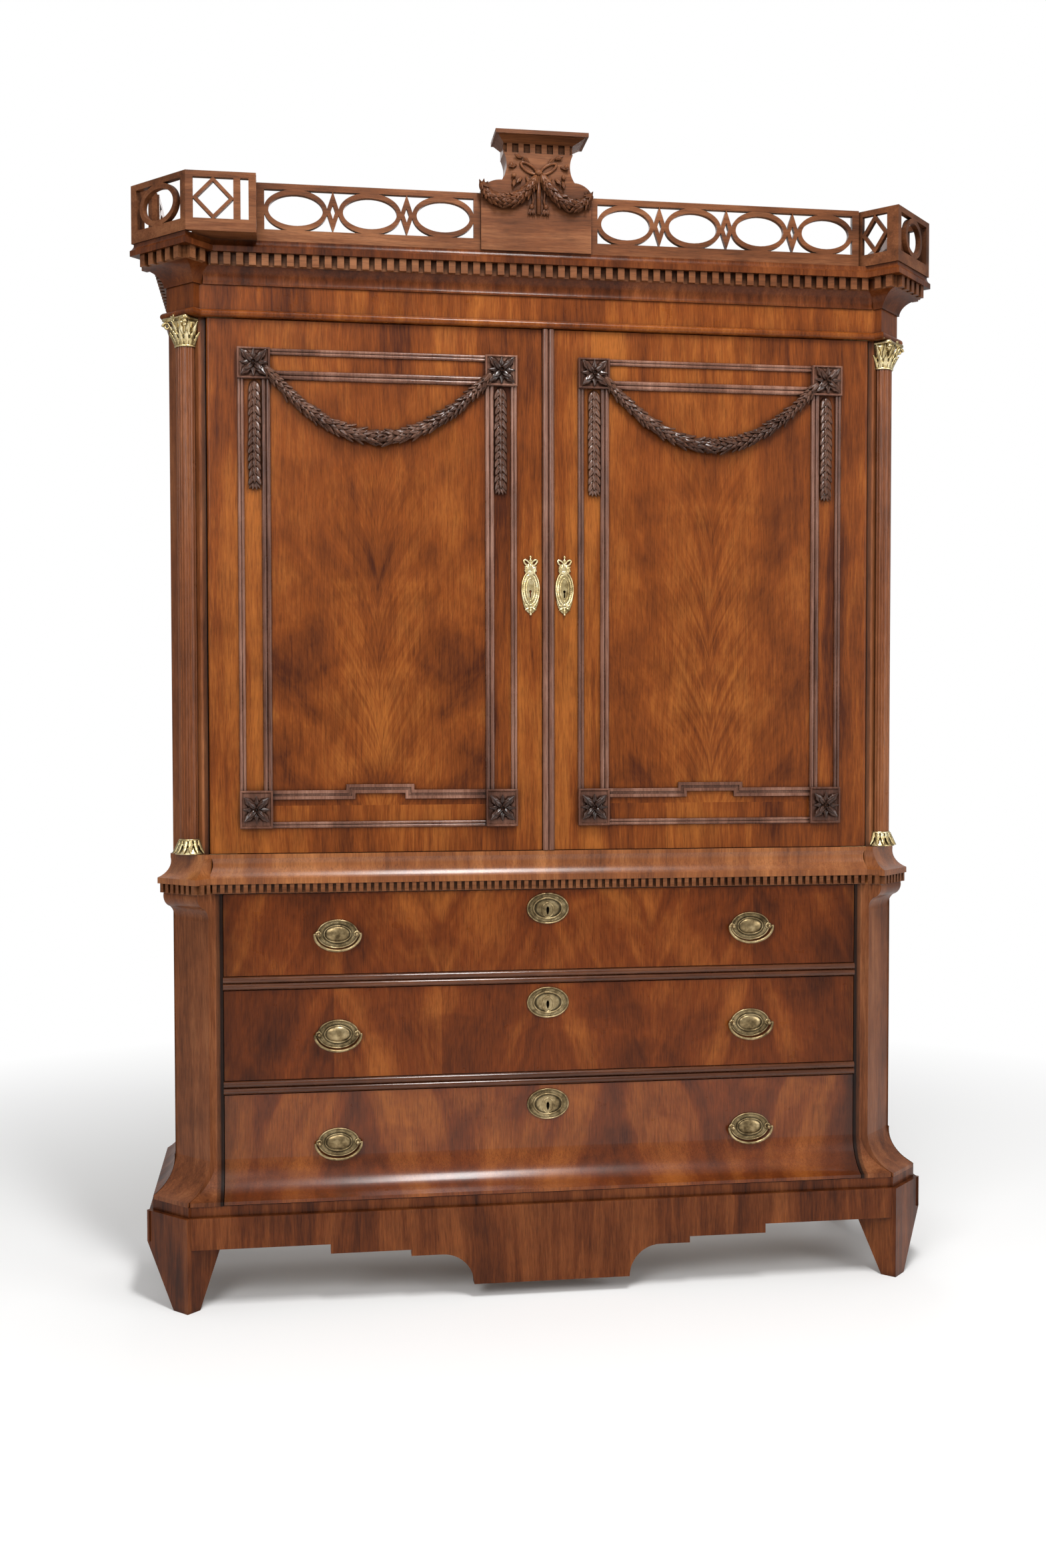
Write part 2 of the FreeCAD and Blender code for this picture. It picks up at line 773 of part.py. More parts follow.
def drawer_frame():
    """Front dividers with twin beads, the rail over the top drawer, dust boards and guides."""
    rails = []
    boards = []
    guides = []
    for word, low, top in (("low", "low_top", "mid_floor"), ("mid", "mid_top", "top_floor")):
        base = getattr(size, low)
        height = size.divider_height
        middle = base + height / 2
        points = [(0, base, -bead_share), (0, middle, -bead_share), (0, base + height, 0),
                  (size.drawer_front_thick, base + height, 0), (size.drawer_front_thick, base, 0)]
        rails.append(pad("%s_divider" % word, "YZ_Plane", points,
                         "2 * (drawer_half + drawer_gap)", True))
        rails += rail_behind("%s_rail" % word, low, "divider_height")
        board = box("%s_dust" % word, "2 * inner_half", "inner_depth - divider_depth", "dust_board",
                    "-inner_half", "divider_depth", top + " - dust_board")
        boards.append(cut("%s_dust" % word, board, *notch("%s_dust_notch" % word, low, "divider_height")))
    node("drawer_dividers", *(rails + rail_behind("over_top_rail", "chest_top", "flat_board")))
    for floor in ("chest_floor", "mid_floor", "top_floor"):
        for word, side in SIDES:
            x = "drawer_half - drawer_side_gap + guide_gap"
            guides.append(box("%s_%s_guide" % (floor, word), "guide_width",
                              "inner_depth - divider_depth", "guide_height",
                              x if side > 0 else "-(%s) - guide_width" % x, "divider_depth", floor))
    node("dust_boards", *(boards + guides))


def oval(name, across, high, thick, y, x="", z=""):
    """An oval plate, its face to the front, standing out from y."""
    edge = Part.Ellipse(Vector(), max(across, high), min(across, high)).toShape()
    face = Part.Face(Part.Wire(edge))
    if high > across:
        face.rotate(Vector(), UP, 90)
    solid = face.extrude(UP * thick)
    piece = doc.addObject("Part::Feature", name)
    piece.Shape = solid
    place(piece, x, y, z)
    piece.Placement.Rotation = FreeCAD.Rotation(ACROSS, 90)
    return piece


def keyhole(name, x, y, z, depth):
    """A round hole with a slot below it."""
    hole = cylinder(name + "_round", "keyhole_radius", depth, x, y, z, 90.0, ACROSS)
    slot = box(name + "_slot", "keyhole_radius", depth, "keyhole_slot",
               "%s - keyhole_radius / 2" % x, "%s - (%s)" % (y, depth), "%s - keyhole_slot" % z)
    return fuse(name, hole, slot)


def handle_plate(name, x, z):
    """An oval plate with a raised middle and two drilled posts for the bail."""
    plate = oval(name + "_plate", size.plate_half, size.plate_half_height, size.plate_thick, "", x, z)
    middle = dome(name + "_dome", "dome_half", "dome_half_height", "dome_rise + plate_thick", x, "", z)
    posts = []
    for word, side in SIDES:
        posts.append(cylinder("%s_%s_post" % (name, word), "post_radius", "post_out",
                              "%s + (%spost_x)" % (x, SIGN[word]), "", z, 90.0, ACROSS))
    solid = fuse(name + "_solid", plate, middle, *posts)
    bore = cylinder(name + "_bore", "pin_radius + pin_clearance", "2 * bail_half",
                    "%s - bail_half" % x, "-bail_y", z, 90.0, BACK)
    return cut(name, solid, bore)


def bail(name, x, z):
    """A hanging oval bail with a short pin turned in at each end."""
    pin_length = size.bail_half - size.post_x + size.pin_reach / 2
    node_x = size.bail_half
    arc = Part.Ellipse(Vector(), size.bail_half, size.bail_drop)
    curve = arc.toShape(math.pi, 2 * math.pi)
    start = Vector(-node_x, 0, 0)
    ring_profile = Part.Wire(Part.makeCircle(size.bail_radius, start, BACK))
    tube = Part.Wire(curve).makePipeShell([ring_profile], True, True)
    pieces = [Part.makeSphere(size.bail_radius, Vector(side * node_x, 0, 0)) for _, side in SIDES]
    for _, side in SIDES:
        pieces.append(Part.makeCylinder(size.pin_radius, pin_length, Vector(side * node_x, 0, 0),
                                        ACROSS * -side))
    shape = tube.multiFuse(pieces)
    shape.rotate(Vector(), ACROSS, 90)
    piece = doc.addObject("Part::Feature", name + "_loop")
    piece.Shape = shape.removeSplitter()
    place(piece, x, "-bail_y", z)
    return node(name, piece)


def drawer(word, floor, height, rise):
    """One long drawer: front, dovetailed box, brasses, two bails, lock bolt."""
    name = "drawer_" + word
    tall = "%s - 2 * drawer_gap" % height
    low = "%s + drawer_gap" % floor
    base = getattr(size, floor) + size.drawer_gap
    high = getattr(size, floor) + getattr(size, height) - size.drawer_gap
    if word == "bottom":
        levels = flare_levels(size.flare_out)
        levels[0] = (levels[0][0], base, 0)
        levels.append((0, high, 0))
    else:
        levels = [(0, base, 0), (0, high, 0)]
    points = [(-out, up, -bulge) for out, up, bulge in levels]
    points += [(size.drawer_front_thick, high, 0), (size.drawer_front_thick, base, 0)]
    front = pad(name + "_slab", "YZ_Plane", points, "2 * drawer_half", True)
    key_z = "%s + %s - drawer_gap - keyplate_drop" % (floor, height)
    hole = keyhole(name + "_keyhole", "0", "drawer_front_thick + lock_thick", key_z,
                   "drawer_front_thick + lock_thick + overrun")
    node(name + "_front", cut(name + "_front_cut", front, hole))
    wall_z = "%s + drawer_lift" % floor
    wall_high = "%s - drawer_side_drop - drawer_lift" % height
    depth = "drawer_length - drawer_front_thick"
    pieces = []
    for side_word, side in SIDES:
        x = "drawer_half - drawer_side_gap"
        pieces.append(box("%s_%s_wall" % (name, side_word), "drawer_side", depth, wall_high,
                          x + " - drawer_side" if side > 0 else "-(%s)" % x,
                          "drawer_front_thick", wall_z))
    inner = "drawer_half - drawer_side_gap - drawer_side"
    pieces.append(box(name + "_end", "2 * (%s)" % inner, "drawer_side", wall_high,
                      "-(%s)" % inner, "drawer_length - drawer_side", wall_z))
    pieces.append(box(name + "_floor", "2 * (%s)" % inner, depth + " - drawer_side", "drawer_floor",
                      "-(%s)" % inner, "drawer_front_thick", "%s + drawer_floor_rise" % floor))
    node(name + "_box", *pieces)
    handle_z = "%s + %s" % (floor, rise)
    brasses = [handle_plate("%s_handle_%s" % (name, side_word), SIGN[side_word] + "handle_x", handle_z)
               for side_word, _ in SIDES]
    shield = oval(name + "_shield", size.keyplate_half, size.keyplate_half_height,
                  size.plate_thick, "", "", key_z)
    brasses.append(cut(name + "_shield_cut", shield, hole))
    brasses.append(lock_case(name, key_z, hole, floor, height))
    node(name + "_brasses", *brasses)
    for side_word, _ in SIDES:
        bail("%s_bail_%s" % (name, side_word), SIGN[side_word] + "handle_x", handle_z)
    top = "%s + %s - drawer_gap" % (floor, height)
    node(name + "_bolt", box(name + "_bolt_bar", "bolt_width", "bolt_thick", "bolt_length",
                             "-bolt_width / 2", "drawer_front_thick + lock_wall + bolt_clearance",
                             top + " - bolt_length"))


def lock_case(name, key_z, hole, floor, height):
    """The lock behind a drawer front, with a slot down its middle for the bolt."""
    top = "%s + %s - drawer_gap" % (floor, height)
    body = box(name + "_lock", "lock_width", "lock_thick", "lock_height",
               "-lock_width / 2", "drawer_front_thick", top + " - lock_height")
    slot = box(name + "_lock_slot", "bolt_width + 2 * bolt_clearance", "bolt_thick + 2 * bolt_clearance",
               "bolt_length + bolt_travel", "-bolt_width / 2 - bolt_clearance",
               "drawer_front_thick + lock_wall", top + " - bolt_length - bolt_clearance")
    return cut(name + "_lock_case", body, hole, slot)


def waist():
    """The chest's top board with its moulded edge, broken forward over the corner blocks."""
    low = size.waist_low
    top = size.press_floor

    def waist_levels(out, top_out):
        return [(out, low, 0), (out, low + size.waist_lip, cove_share),
                (top_out, top - size.waist_fillet, 0), (top_out, top, 0)]

    half = size.block_half
    spreads = [(half + size.waist_spread, low, 0),
               (half + size.waist_spread, low + size.waist_lip, cove_share),
               (half, top - size.waist_fillet, 0), (half, top, 0)]
    thick = size.drawer_front_thick
    behind = size.side_board
    ease = size.waist_ease
    mouldings = ring("waist", waist_levels(size.waist_out, size.waist_top_out),
                     waist_levels(size.waist_block_out, size.waist_block_top_out), spreads,
                     (thick, behind), ease)
    board = box("chest_top_slab", "2 * inner_half", "inner_depth - drawer_front_thick", "flat_board",
                "-inner_half", "drawer_front_thick", "press_floor - flat_board")
    node("chest_top_board", cut("chest_top", board, *notch("top_notch", "chest_top", "press_floor")))
    band = [(size.waist_bed, size.chest_top, 0), (size.waist_bed, low, 0)]
    mouldings += ring("band", band, swell(band, size.waist_block_bed - size.waist_bed),
                      [(half, size.chest_top, 0), (half, low, 0)], (thick, behind), ease)
    node("waist_moulding", *mouldings)
    node("waist_dentils", *dentils("waist_dentil", "chest_top + band_height", "waist_dentil_height",
                                   size.waist_dentil_pitch, size.waist_dentil_tooth,
                                   (size.waist_bed, size.waist_bed - ease, size.waist_block_bed), half,
                                   size.waist_dentil_rise))


for maker in (chest_shell, corner_pilasters, front_stiles, plinth, feet, drawer_frame, waist):
    maker()
drawer("bottom", "chest_floor", "drawer_low_height", "handle_low_rise")
drawer("middle", "mid_floor", "drawer_mid_height", "handle_mid_rise")
drawer("top", "top_floor", "drawer_top_height", "handle_top_rise")


def turned_post(word, side):
    """A front corner post of the press, in plan, with its canted face behind the column."""
    inner = size.door_half + size.post_gap
    cant = size.block_x - size.block_y - size.post_cant_set * math.sqrt(2)
    points = [(inner, size.post_set, 0), (cant + size.post_set, size.post_set, 0),
              (size.case_half, size.case_half - cant, 0),
              (size.case_half, size.case_half - cant + size.post_side, 0),
              (size.inner_half, size.case_half - cant + size.post_side, 0),
              (inner, size.post_set + size.post_depth, 0)]
    if side < 0:
        points = [(-x, y, 0) for x, y, _ in points]
    post = pad("press_%s_post" % word, "XY_Plane", points, "door_height")
    return place(post, "", "", "press_floor")


def press_shell():
    """Posts, sides, back, top and bottom boards, shelves and the battens that carry them."""
    posts = {word: turned_post(word, side) for word, side in SIDES}
    node("press_posts", *posts.values())
    behind = "case_half - block_x + block_y + post_cant_set * sqrt(2) + post_side"
    sides = [box("press_%s_board" % word, "side_board", "case_depth - (%s)" % behind, "door_height",
                 "inner_half" if side > 0 else "-case_half", behind, "press_floor")
             for word, side in SIDES]
    node("press_back", box("press_back_board", "2 * inner_half", "back_board", "door_height",
                           "-inner_half", "inner_depth", "press_floor"))
    corners = notch("press_notch", "press_floor", "door_height")
    boards = []
    front = "door_thick + board_set"
    deep = "rod_stand + rod_radius + rod_clearance - board_set"
    hole = "(rod_radius + rod_clearance)"
    for word, z in (("bottom", "press_floor"), ("top", "press_top - flat_board")):
        board = box("press_%s" % word, "2 * inner_half", "inner_depth - (%s + %s)" % (front, deep),
                    "flat_board", "-inner_half", "%s + %s" % (front, deep), z)
        left = box("press_%s_left" % word, "inner_half - door_meeting - rod_x - " + hole, deep,
                   "flat_board", "-inner_half", front, z)
        right = box("press_%s_right" % word, "inner_half + door_meeting + rod_x - " + hole, deep,
                    "flat_board", "-door_meeting - rod_x + " + hole, front, z)
        boards += [cut(piece.Name, piece, *posts.values(), *corners) for piece in (board, left, right)]
    node("press_boards", *boards)
    shelves = []
    battens = []
    for level in range(1, 4):
        z = "press_floor + flat_board + %d * shelf_pitch" % level
        shelf = box("shelf_%d" % level, "2 * inner_half", "inner_depth - shelf_set", "shelf_thick",
                    "-inner_half", "shelf_set", z)
        shelves.append(cut("shelf_%d" % level, shelf, *posts.values(), *corners))
        for word, side in SIDES:
            x = "inner_half - batten" if side > 0 else "-inner_half"
            battens.append(box("batten_%d_%s" % (level, word), "batten",
                               "inner_depth - (%s)" % behind, "batten", x, behind, z + " - batten"))
    node("shelves", *shelves)
    node("press_sides", *(sides + battens))


def columns():
    """Fluted columns let into the canted corners, with brass capitals and bases."""
    outline = []
    turns = size.flute_count
    for index in range(int(turns)):
        for share, bulge in ((0.0, land_share), (flute_gap_share, flute_share)):
            angle = 2 * math.pi * (index + share) / turns
            outline.append((size.column_radius * math.cos(angle), size.column_radius * math.sin(angle),
                            bulge))
    shaft = pad("column_shaft", "XY_Plane", outline, "column_length")
    place(shaft, "", "", "press_floor + column_base_height")
    behind = box("behind_column", "2 * reach_past", "reach_past", "corona_top",
                 "-reach_past", "post_cant_set", "")
    node("columns", *both_corners("column", cut("column_front", shaft, behind)))
    neck = cone("capital_bell", "column_radius + neck_swell", "capital_half", "capital_height - capital_abacus",
                "press_top - capital_height")
    abacus = box("capital_abacus", "2 * capital_half", "2 * capital_half", "capital_abacus",
                 "-capital_half", "-capital_half", "press_top - capital_abacus")
    capital = cut("capital", fuse("capital_whole", neck, abacus), behind)
    foot = cone("base_bell", "column_base_half", "column_radius + neck_swell", "column_base_height",
                "press_floor")
    base = cut("base", foot, behind)
    node("column_brasses", *(both_corners("capital_at", capital) + both_corners("base_at", base)))


def cone(name, low_radius, high_radius, height, z):
    piece = doc.addObject("Part::Cone", name)
    piece.setExpression("Radius1", with_sheet(low_radius))
    piece.setExpression("Radius2", with_sheet(high_radius))
    piece.setExpression("Height", with_sheet(height))
    return place(piece, "", "", z)


def entablature():
    """Bead and frieze over the doors, then cove, dentils and corona, broken over the corners."""
    low = size.press_top
    bead_top = low + size.architrave_height - size.architrave_fillet
    levels = [(size.architrave_out, low, bead_share), (size.architrave_out, bead_top, 0),
              (size.frieze_out, bead_top, 0), (size.frieze_out, size.cove_low, 0)]
    front = swell(levels, size.frieze_block_out - size.frieze_out)
    spreads = swell(levels, size.frieze_block_half - size.frieze_out)
    thick = size.frieze_thick
    trims = trims_at("frieze_trim", "frieze_block_half")
    ease = size.press_ease
    node("frieze", *ring("frieze", levels, front, spreads, (thick, thick), ease, trims))
    knee = size.cove_low + size.cove_fillet
    lip = size.corona_low + size.corona_lip

    def cornice_levels(foot, cove, corona, top):
        return [(foot, size.cove_low, 0), (foot, knee, cove_share), (cove, size.cove_top, 0),
                (cove, size.corona_low, 0), (corona, size.corona_low, 0), (corona, lip, cove_share),
                (top, size.corona_top, 0)]

    step = size.corona_out - size.corona_edge
    main = cornice_levels(size.frieze_out + size.cove_fillet, size.cove_out, size.corona_out,
                          size.corona_edge)
    front = cornice_levels(size.frieze_block_out + size.cove_fillet, size.cove_block_out,
                           size.corona_block_out, size.corona_block_out - step)
    spreads = cornice_levels(size.frieze_block_half + size.cove_fillet, size.cove_block_half,
                             size.corona_block_half, size.corona_block_half - step)
    trims = trims_at("cornice_trim", "(block_half - cove_fillet)")
    node("cornice", *ring("cornice", main, front, spreads, (thick, thick), ease, trims))
    node("cornice_dentils", *dentils("cornice_dentil", "cove_top", "cornice_dentil_height",
                                     size.cornice_dentil_pitch, size.cornice_dentil_tooth,
                                     (size.cove_out, size.cove_out - ease, size.cove_block_out),
                                     size.cove_block_half,
                                     size.cornice_dentil_rise))
    dust = box("dust_top", "2 * (case_half - frieze_thick)", "case_depth - frieze_thick",
               "back_board", "frieze_thick - case_half", "frieze_thick", "corona_top - back_board")
    back = box("entablature_back", "2 * (case_half - frieze_thick)", "back_board",
               "corona_top - press_top - back_board", "frieze_thick - case_half", "inner_depth",
               "press_top")
    corners = notch("dust_top_notch", "cove_low", "corona_top", "corona_block_half")
    node("cornice_boards", cut("dust_top", dust, *corners), back)


land_share = 0.05
flute_share = -0.28
flute_gap_share = 0.3


def bar(length, height, x, z):
    """A flat piece of the gallery, in the frame of its own panel."""
    return Part.makeBox(length, size.gallery_thick, height, Vector(x, 0, z))


def ellipse_solid(x, z, across, high):
    major = max(across, high)
    edge = Part.Ellipse(Vector(), major, min(across, high)).toShape()
    face = Part.Face(Part.Wire(edge))
    if high > across:
        face.rotate(Vector(), UP, 90)
    solid = face.extrude(UP * size.gallery_thick)
    solid.rotate(Vector(), ACROSS, 90)
    solid.translate(Vector(x, size.gallery_thick, z))
    return solid


def diamond_solid(x, z, across, high):
    corners = [Vector(x - across, 0, z), Vector(x, 0, z - high), Vector(x + across, 0, z),
               Vector(x, 0, z + high), Vector(x - across, 0, z)]
    return Part.Face(Part.makePolygon(corners)).extrude(BACK * size.gallery_thick)


def opening_middle():
    """Height of the openings' middle over the panel's foot, and half their height."""
    clear = size.gallery_height - size.gallery_foot_rail - size.gallery_top_rail
    return size.gallery_foot_rail + clear / 2, clear / 2


def oval_ring(x, across):
    middle, half = opening_middle()
    outer = ellipse_solid(x, middle, across, half + size.fret_sink)
    return outer.cut(ellipse_solid(x, middle, across - size.gallery_bar, half - size.gallery_bar))


def diamond_ring(x, across):
    middle, half = opening_middle()
    outer = diamond_solid(x, middle, across, half + size.fret_sink)
    inner = diamond_solid(x, middle, across - size.gallery_bar, (half + size.fret_sink)
                          * (across - size.gallery_bar) / across)
    return outer.cut(inner)


def panel_frame(length):
    """Foot rail, top rail and end posts of one pierced panel."""
    high = size.gallery_height
    return [bar(length, size.gallery_foot_rail, 0, 0),
            bar(length, size.gallery_top_rail, 0, high - size.gallery_top_rail),
            bar(size.gallery_post, high, 0, 0),
            bar(size.gallery_post, high, length - size.gallery_post, 0)]


def fret(name, length, cells):
    """A pierced panel of pointed ovals with a narrow lozenge between each two."""
    pieces = panel_frame(length)
    clear = length - 2 * size.gallery_post
    gap = 2 * size.gallery_lozenge - 2 * size.fret_sink
    across = (clear - gap * (cells - 1)) / cells / 2
    for index in range(cells):
        x = size.gallery_post + across + index * (2 * across + gap)
        pieces.append(oval_ring(x, across + size.fret_sink))
        if index < cells - 1:
            pieces.append(diamond_ring(x + across + gap / 2, size.gallery_lozenge))
    return fret_piece(name, pieces)


def fret_piece(name, pieces):
    piece = doc.addObject("Part::Feature", name)
    piece.Shape = pieces[0].multiFuse(pieces[1:]).removeSplitter()
    return piece


def cant_panel(name, across_share):
    """The panel on the canted face, with one ring in it."""
    length = 2 * size.pedestal_half
    pieces = panel_frame(length)
    pieces.append(oval_ring(length / 2, (length / 2 - size.gallery_post) * across_share + size.fret_sink))
    return place(fret_piece(name, pieces), "-pedestal_half", "-pedestal_out", "corona_top")


def return_panel(name, length):
    """A panel square to the canted one: two posts, two rails and, where it is wide, a lozenge."""
    pieces = panel_frame(length)
    if length > size.pedestal_side_return:
        pieces.append(diamond_ring(length / 2, length / 2 - size.gallery_post + size.fret_sink))
    return fret_piece(name, pieces)


def gallery():
    """Pierced panels over the cornice and the corner pedestals they run between."""
    inner_left = size.crest_x - size.crest_half
    inner_right = size.crest_x + size.crest_half
    left = place(fret("gallery_left", inner_left + size.gallery_inner, 3), "-gallery_inner",
                 "-gallery_out", "corona_top")
    right = place(fret("gallery_right", size.gallery_right_end - inner_right, 4),
                  "crest_x + crest_half", "-gallery_out", "corona_top")
    panels = [left, right]
    run = "case_depth - gallery_side_start"
    length = size.case_depth - size.gallery_side_start
    for word, side in SIDES:
        panel = fret("gallery_%s_side" % word, length, 2)
        if side > 0:
            place(panel, "case_half + gallery_out", "gallery_side_start", "corona_top", 2 * size.cant_angle)
        else:
            place(panel, "-case_half - gallery_out", "gallery_side_start + (%s)" % run, "corona_top",
                  -2 * size.cant_angle)
        panels.append(panel)
    node("gallery", *panels)
    corners = []
    for (word, side), share in zip(SIDES, (round_share, narrow_share)):
        pieces = [cant_panel("pedestal_%s_cant" % word, share)]
        ends = [(side, "pedestal_side_return")]
        if side > 0:
            ends.append((-side, "pedestal_return"))
        for end, run in ends:
            panel = return_panel("pedestal_%s_%s" % (word, run), getattr(size, run))
            if end > 0:
                place(panel, "pedestal_half", "gallery_thick - pedestal_out", "corona_top",
                      2 * size.cant_angle)
            else:
                place(panel, "-pedestal_half", "gallery_thick + %s - pedestal_out" % run,
                      "corona_top", -2 * size.cant_angle)
            pieces.append(panel)
        corners.append(at_corner("pedestal_" + word, group("pedestal_%s_panels" % word, *pieces), side))
    corners.append(left_front_panel())
    corners.append(box("pedestal_left_floor", "pedestal_front - 2 * gallery_thick",
                       "pedestal_reach - gallery_out", "pedestal_floor",
                       "gallery_thick - pedestal_left_edge",
                       "gallery_thick - pedestal_reach", "corona_top"))
    corners.append(box("pedestal_left_link", "gallery_thick",
                       "pedestal_reach - gallery_out", "gallery_height",
                       "-gallery_inner - gallery_thick", "gallery_thick - pedestal_reach", "corona_top"))
    node("gallery_pedestals", *corners)


round_share = 0.8
narrow_share = 0.62


def left_front_panel():
    """The wide front panel of the left pedestal: a lozenge, an upright bar and a gap."""
    length = size.pedestal_front
    pieces = panel_frame(length)
    bar_x = length - size.pedestal_gap - size.pedestal_bar
    pieces.append(bar(size.pedestal_bar, size.gallery_height, bar_x, 0))
    middle = (size.gallery_post + bar_x) / 2
    pieces.append(diamond_ring(middle, (bar_x - size.gallery_post) / 2 + size.fret_sink))
    panel = fret_piece("pedestal_left_front", pieces)
    return place(panel, "-pedestal_left_edge", "-pedestal_reach", "corona_top")


def crest():
    """The crest's block with its drawn-in neck, a reeded cap and a thin plate over it."""
    half = size.crest_half
    neck = size.crest_neck_half
    high = size.crest_neck_height
    left = size.crest_neck_shift - neck
    right = size.crest_neck_shift + neck
    foot = size.crest_shoulder + size.crest_ledge_rise
    outline = [(-half, 0, 0), (half, 0, 0), (half, size.crest_shoulder, shoulder_share),
               (right + size.crest_ledge, foot, neck_share), (right, high, 0),
               (left, high, neck_share), (left - size.crest_ledge, foot, shoulder_share),
               (-half, size.crest_shoulder, 0)]
    body = place(pad("crest_body", "XZ_Plane", outline, "crest_thick"), "crest_x",
                 "crest_thick - crest_out", "corona_top")
    reed_top = size.corona_top + high + size.crest_reed_height
    reeds = comb("crest_reeds", 2 * neck, size.crest_reed, size.crest_reed * reed_share,
                 size.crest_out, size.crest_out - size.crest_reed_depth,
                 size.crest_out - size.crest_thick, "crest_reed_height")
    place(reeds, "crest_x + crest_neck_shift", "", "corona_top + crest_neck_height")
    back = size.crest_thick - size.crest_out
    middle = size.crest_x + size.crest_plate_shift
    lip = size.crest_plate_lip
    cap = taper("crest_cap", (middle - size.crest_plate_half + lip, middle + size.crest_plate_half - lip,
                              lip - size.crest_out - size.crest_plate_over, back),
                (size.crest_x + left, size.crest_x + right, -size.crest_out, back),
                reed_top, reed_top + size.crest_cap_height)
    plate = box("crest_plate_slab", "2 * crest_plate_half", "crest_thick + crest_plate_over",
                "crest_plate", "crest_x + crest_plate_shift - crest_plate_half",
                "-crest_out - crest_plate_over",
                "corona_top + crest_neck_height + crest_reed_height + crest_cap_height")
    node("crest", body, reeds, cap, plate)


shoulder_share = -0.12
neck_share = 0.14
reed_share = 0.45


def leaves(name, spots, across, high, y, x="", z=""):
    """A run of overlapping leaf bosses, fused; spots holds (x, z, turn)."""
    pieces = []
    for count, (spot_x, spot_z, turn) in enumerate(spots):
        leaf = doc.addObject("Part::Ellipsoid", "%s_%d" % (name, count))
        leaf.setExpression("Radius1", with_sheet("carving_out"))
        leaf.setExpression("Radius2", with_sheet(across))
        leaf.setExpression("Radius3", with_sheet(high))
        leaf.Angle1 = 0
        leaf.Placement = FreeCAD.Placement(Vector(spot_x, 0, spot_z),
                                           FreeCAD.Rotation(BACK, turn) * FreeCAD.Rotation(ACROSS, 90))
        pieces.append(leaf)
    run = fuse(name, *pieces)
    return place(run, x, y, z)


def festoon(width, sag, count):
    """Spots along a hanging garland, centred, with each leaf turned along it."""
    spots = []
    for index in range(count):
        across = -1 + 2 * index / (count - 1)
        x = across * width / 2
        z = -sag * (1 - across * across)
        slope = math.degrees(math.atan2(4 * sag * across, width))
        spots.append((x, z, -slope))
    return spots


def crest_carving():
    """Two laurel swags over the shoulders and the ribbon that hangs between them."""
    spots = [(across * size.swag_radius, rise * size.swag_radius, turn)
             for across, rise, turn in ribbon_shares]
    for word, side in SIDES:
        spots += [(side * across * size.swag_radius, rise * size.swag_radius, side * turn)
                  for across, rise, turn in swag_shares]
    node("crest_carving", leaves("crest_swags", spots, "1.4 * swag_radius", "swag_radius",
                                 "-crest_out", "crest_x + crest_neck_shift",
                                 "corona_top + crest_swag_rise"))


# places along the crest's swags and ribbon, as shares of the swag's radius, with each leaf's turn
swag_shares = ((0.8, -1.3, 65), (1.7, -2.9, 55), (3, -4.4, 42), (4.8, -5.5, 22),
               (6.8, -6, 4), (8.4, -5.8, -12), (9.6, -5.2, -25))
ribbon_shares = ((0, 0, 90), (0, -2.4, 90), (0, -4.8, 90))


def pivot_pins():
    """Plates let into the case over and under each door, each with the pin a door turns on."""
    pins = []
    for word, side in SIDES:
        for level, plate_z, pin_z in (("low", "press_floor", "press_floor"),
                                      ("high", "press_top - door_gap / 2",
                                       "press_top - pivot_length")):
            sign = SIGN[word]
            plate = box("pivot_plate_%s_%s" % (word, level), "pivot_plate_length",
                        "pivot_plate_width", "door_gap / 2",
                        "pivot_x + pivot_inset - pivot_plate_length" if side > 0
                        else "-pivot_x - pivot_inset", "", plate_z)
            pin = cylinder("pivot_pin_%s_%s" % (word, level), "pivot_radius", "pivot_length",
                           sign + "pivot_x", "pivot_inset", pin_z)
            pins.append(fuse("pivot_%s_%s" % (word, level), plate, pin))
    node("pivot_pins", *pins)


def door_ends(side):
    """The X limits of a door: at its hinge edge and at the meeting edge."""
    if side > 0:
        return size.door_half, -size.door_meeting + size.door_gap / 2
    return -size.door_half, -size.door_meeting - size.door_gap / 2


def door_panel(word, side):
    """The door's board, its hinge edge rounded about the pins, drilled for them."""
    hinge, meeting = door_ends(side)
    round_edge = size.pivot_inset
    outline = [(meeting, 0, 0), (hinge - side * round_edge, 0, side * quarter_share * -1),
               (hinge, round_edge, 0), (hinge, size.door_thick, 0), (meeting, size.door_thick, 0)]
    slab = pad("door_%s_slab" % word, "XY_Plane", outline, "door_height - 2 * door_gap")
    place(slab, "", "", "press_floor + door_gap")
    holes = []
    for level, z in (("low", "press_floor - overrun"), ("high", "press_top - pivot_length - overrun / 5")):
        holes.append(cylinder("door_%s_socket_%s" % (word, level), "pivot_radius + pivot_clearance",
                              "pivot_length + overrun + overrun / 5", SIGN[word] + "pivot_x",
                              "pivot_inset", z))
    if side > 0:
        holes.append(keyhole("door_keyhole", "scutcheon_x", "door_thick + lock_thick", "lock_z",
                             "door_thick + lock_thick + overrun"))
    return cut("door_%s" % word, slab, *holes)


def stepped_band(name, left, right, top, near, far, thick):
    """A flat band with a raised middle, from near to far below its moulding's top edge."""
    middle = (left + right) / 2
    edges = []
    for drop in (near, far):
        half = size.frame_step_half - drop
        z = top - drop
        edges.append([(left, z, 0), (middle - half, z, 0), (middle - half, z + size.frame_step, 0),
                      (middle + half, z + size.frame_step, 0), (middle + half, z, 0), (right, z, 0)])
    outline = edges[1] + list(reversed(edges[0]))
    return pad(name, "XZ_Plane", outline, thick)


